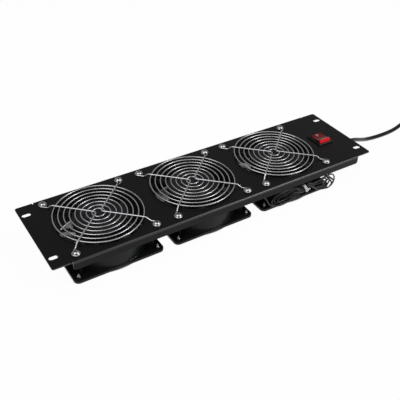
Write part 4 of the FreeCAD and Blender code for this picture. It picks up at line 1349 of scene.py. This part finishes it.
@dataclass
class ScrewThreads:
    """Threads on the points of the fans' screws. Sizes are in millimetres.

    straight is the length of the full thread, and cone that of its run to the tip.
    """

    radius: float = 2.15
    tip_radius: float = 0.4
    pitch: float = 1.4
    straight: float = 1.8
    cone: float = 3.7
    ridge: float = 0.32
    ridge_sides: int = 3
    turn_steps: int = 14

    def tree(self, material: Material) -> GeometryBuilder:
        """Builds one thread and puts it on every point of the guide.

        Args:
            material: Finish of the screws.

        Returns:
            The finished tree.
        """
        build = GeometryBuilder("screw_thread", {
            "Radius": self.radius * MM, "Tip Radius": self.tip_radius * MM, "Pitch": self.pitch * MM,
            "Straight": self.straight * MM, "Cone": self.cone * MM, "Ridge": self.ridge * MM, "Flip": 0.0})
        profile = build.circle(build.size("Ridge"), self.ridge_sides)
        runs = []
        for end, height in (("Radius", "Straight"), ("Tip Radius", "Cone")):
            spiral = build.node("GeometryNodeCurveSpiral", None, {
                "Resolution": self.turn_steps, "Rotations": build.size(height) / build.size("Pitch"),
                "Start Radius": build.size("Radius"), "End Radius": build.size(end),
                "Height": build.size(height)}).outputs[0]
            runs.append(build.sweep(spiral, profile, True))
        straight = build.size("Straight")
        turned = build.vector(0, 0, straight / build.size("Pitch") * (2 * math.pi))
        runs[1] = build.moved(runs[1], Translation=build.vector(0, 0, straight), Rotation=turned)
        thread = build.moved(build.joined(*runs), Rotation=build.vector(build.size("Flip"), 0, 0))
        build.finish(build.on_points(build.entry.outputs["Guide"], thread), material, smooth=False)
        return build

    def build(self, paintbox: Paintbox) -> None:
        """Makes the threads of the guard screws, which point down, and of the rear screws.

        Args:
            paintbox: Maker of the finishes.
        """
        tree = self.tree(paintbox.material(Slot.PLATED_SCREW))
        for name, level, flip in (("guard_screw_threads", UPPER_FLANGE, math.pi),
                                  ("rear_screw_threads", LOWER_FLANGE, 0.0)):
            guide = bpy.data.meshes.new(name + "_guide")
            holes = [(x + i * SCREW_OFFSET, j * SCREW_OFFSET, level)
                     for x in FAN_CENTRES for i in (-1, 1) for j in (-1, 1)]
            guide.from_pydata(metres(holes), [], [])
            threads = tree.bake(name, guide, {"Flip": flip})
            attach(threads, "tray")
            LOG.info("%s has %d faces", threads.name, len(threads.data.polygons))


# Switch


@dataclass
class RockerMarks:
    """White ON and OFF marks printed in the rocker's dish. Sizes are in millimetres.

    The swing is the rocker's tilt at rest, in degrees. The dish is a round hollow
    whose axis lies dish_middle above the pivot.
    """

    pivot: Point = (200.2, -1.6, 40.5)
    swing: float = 7.5
    dish_middle: float = 34.96
    dish_radius: float = 29.95
    lift: float = 0.04
    ring_place: float = 7.1
    ring_outer: float = 2.05
    ring_inner: float = 1.4
    bar_place: float = -6.8
    bar_size: tuple[float, float] = (3.8, 0.6)
    ring_steps: int = 40

    def on_dish(self, x: float, y: float) -> Vector:
        """Puts a point on the rocker's face.

        Args:
            x: Place across the rocker.
            y: Place along it.

        Returns:
            The point in metres, a little above the face.
        """
        height = self.dish_middle - math.sqrt(self.dish_radius ** 2 - y ** 2) + self.lift
        turned = Matrix.Rotation(math.radians(-self.swing), 3, "X") @ Vector((x, y, height))
        return (turned + Vector(self.pivot)) * MM

    def build(self, paintbox: Paintbox) -> None:
        """Makes both marks as thin ink on the rocker.

        Args:
            paintbox: Maker of the finishes.
        """
        corners: list[Vector] = []
        faces: list[tuple[int, ...]] = []
        for i in range(self.ring_steps):
            angle = 2 * math.pi * i / self.ring_steps
            for radius in (self.ring_inner, self.ring_outer):
                x, y = radius * math.cos(angle), radius * math.sin(angle)
                corners.append(self.on_dish(x, self.ring_place + y))
            j = (i + 1) % self.ring_steps
            faces.append((2 * i, 2 * i + 1, 2 * j + 1, 2 * j))
        half_x, half_y = self.bar_size[0] / 2, self.bar_size[1] / 2
        start = len(corners)
        corners += [self.on_dish(i * half_x, self.bar_place + j * half_y)
                    for i, j in ((-1, -1), (1, -1), (1, 1), (-1, 1))]
        faces.append(tuple(range(start, start + 4)))
        mesh = bpy.data.meshes.new("rocker_marks")
        mesh.from_pydata(corners, [], faces)
        marks = add_object("rocker_marks", mesh)
        marks.data.materials.append(paintbox.material(Slot.WHITE_INK))
        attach(marks, "switch_rocker")
        LOG.info("rocker marks ready")


def main() -> None:
    """Builds the studio and every sub-assembly in order."""
    logging.basicConfig(level=logging.INFO, format="%(name)s: %(message)s")
    paintbox = Paintbox()
    Studio().build()
    PowerCord().build(paintbox)
    LeadHank().build(paintbox)
    HankTie().build(paintbox)
    paintbox.dress_nodes()
    FrameFillets().build(paintbox)
    FingerGuards().build(paintbox)
    ScrewThreads().build(paintbox)
    RockerMarks().build(paintbox)


if __name__ == "__main__":
    main()
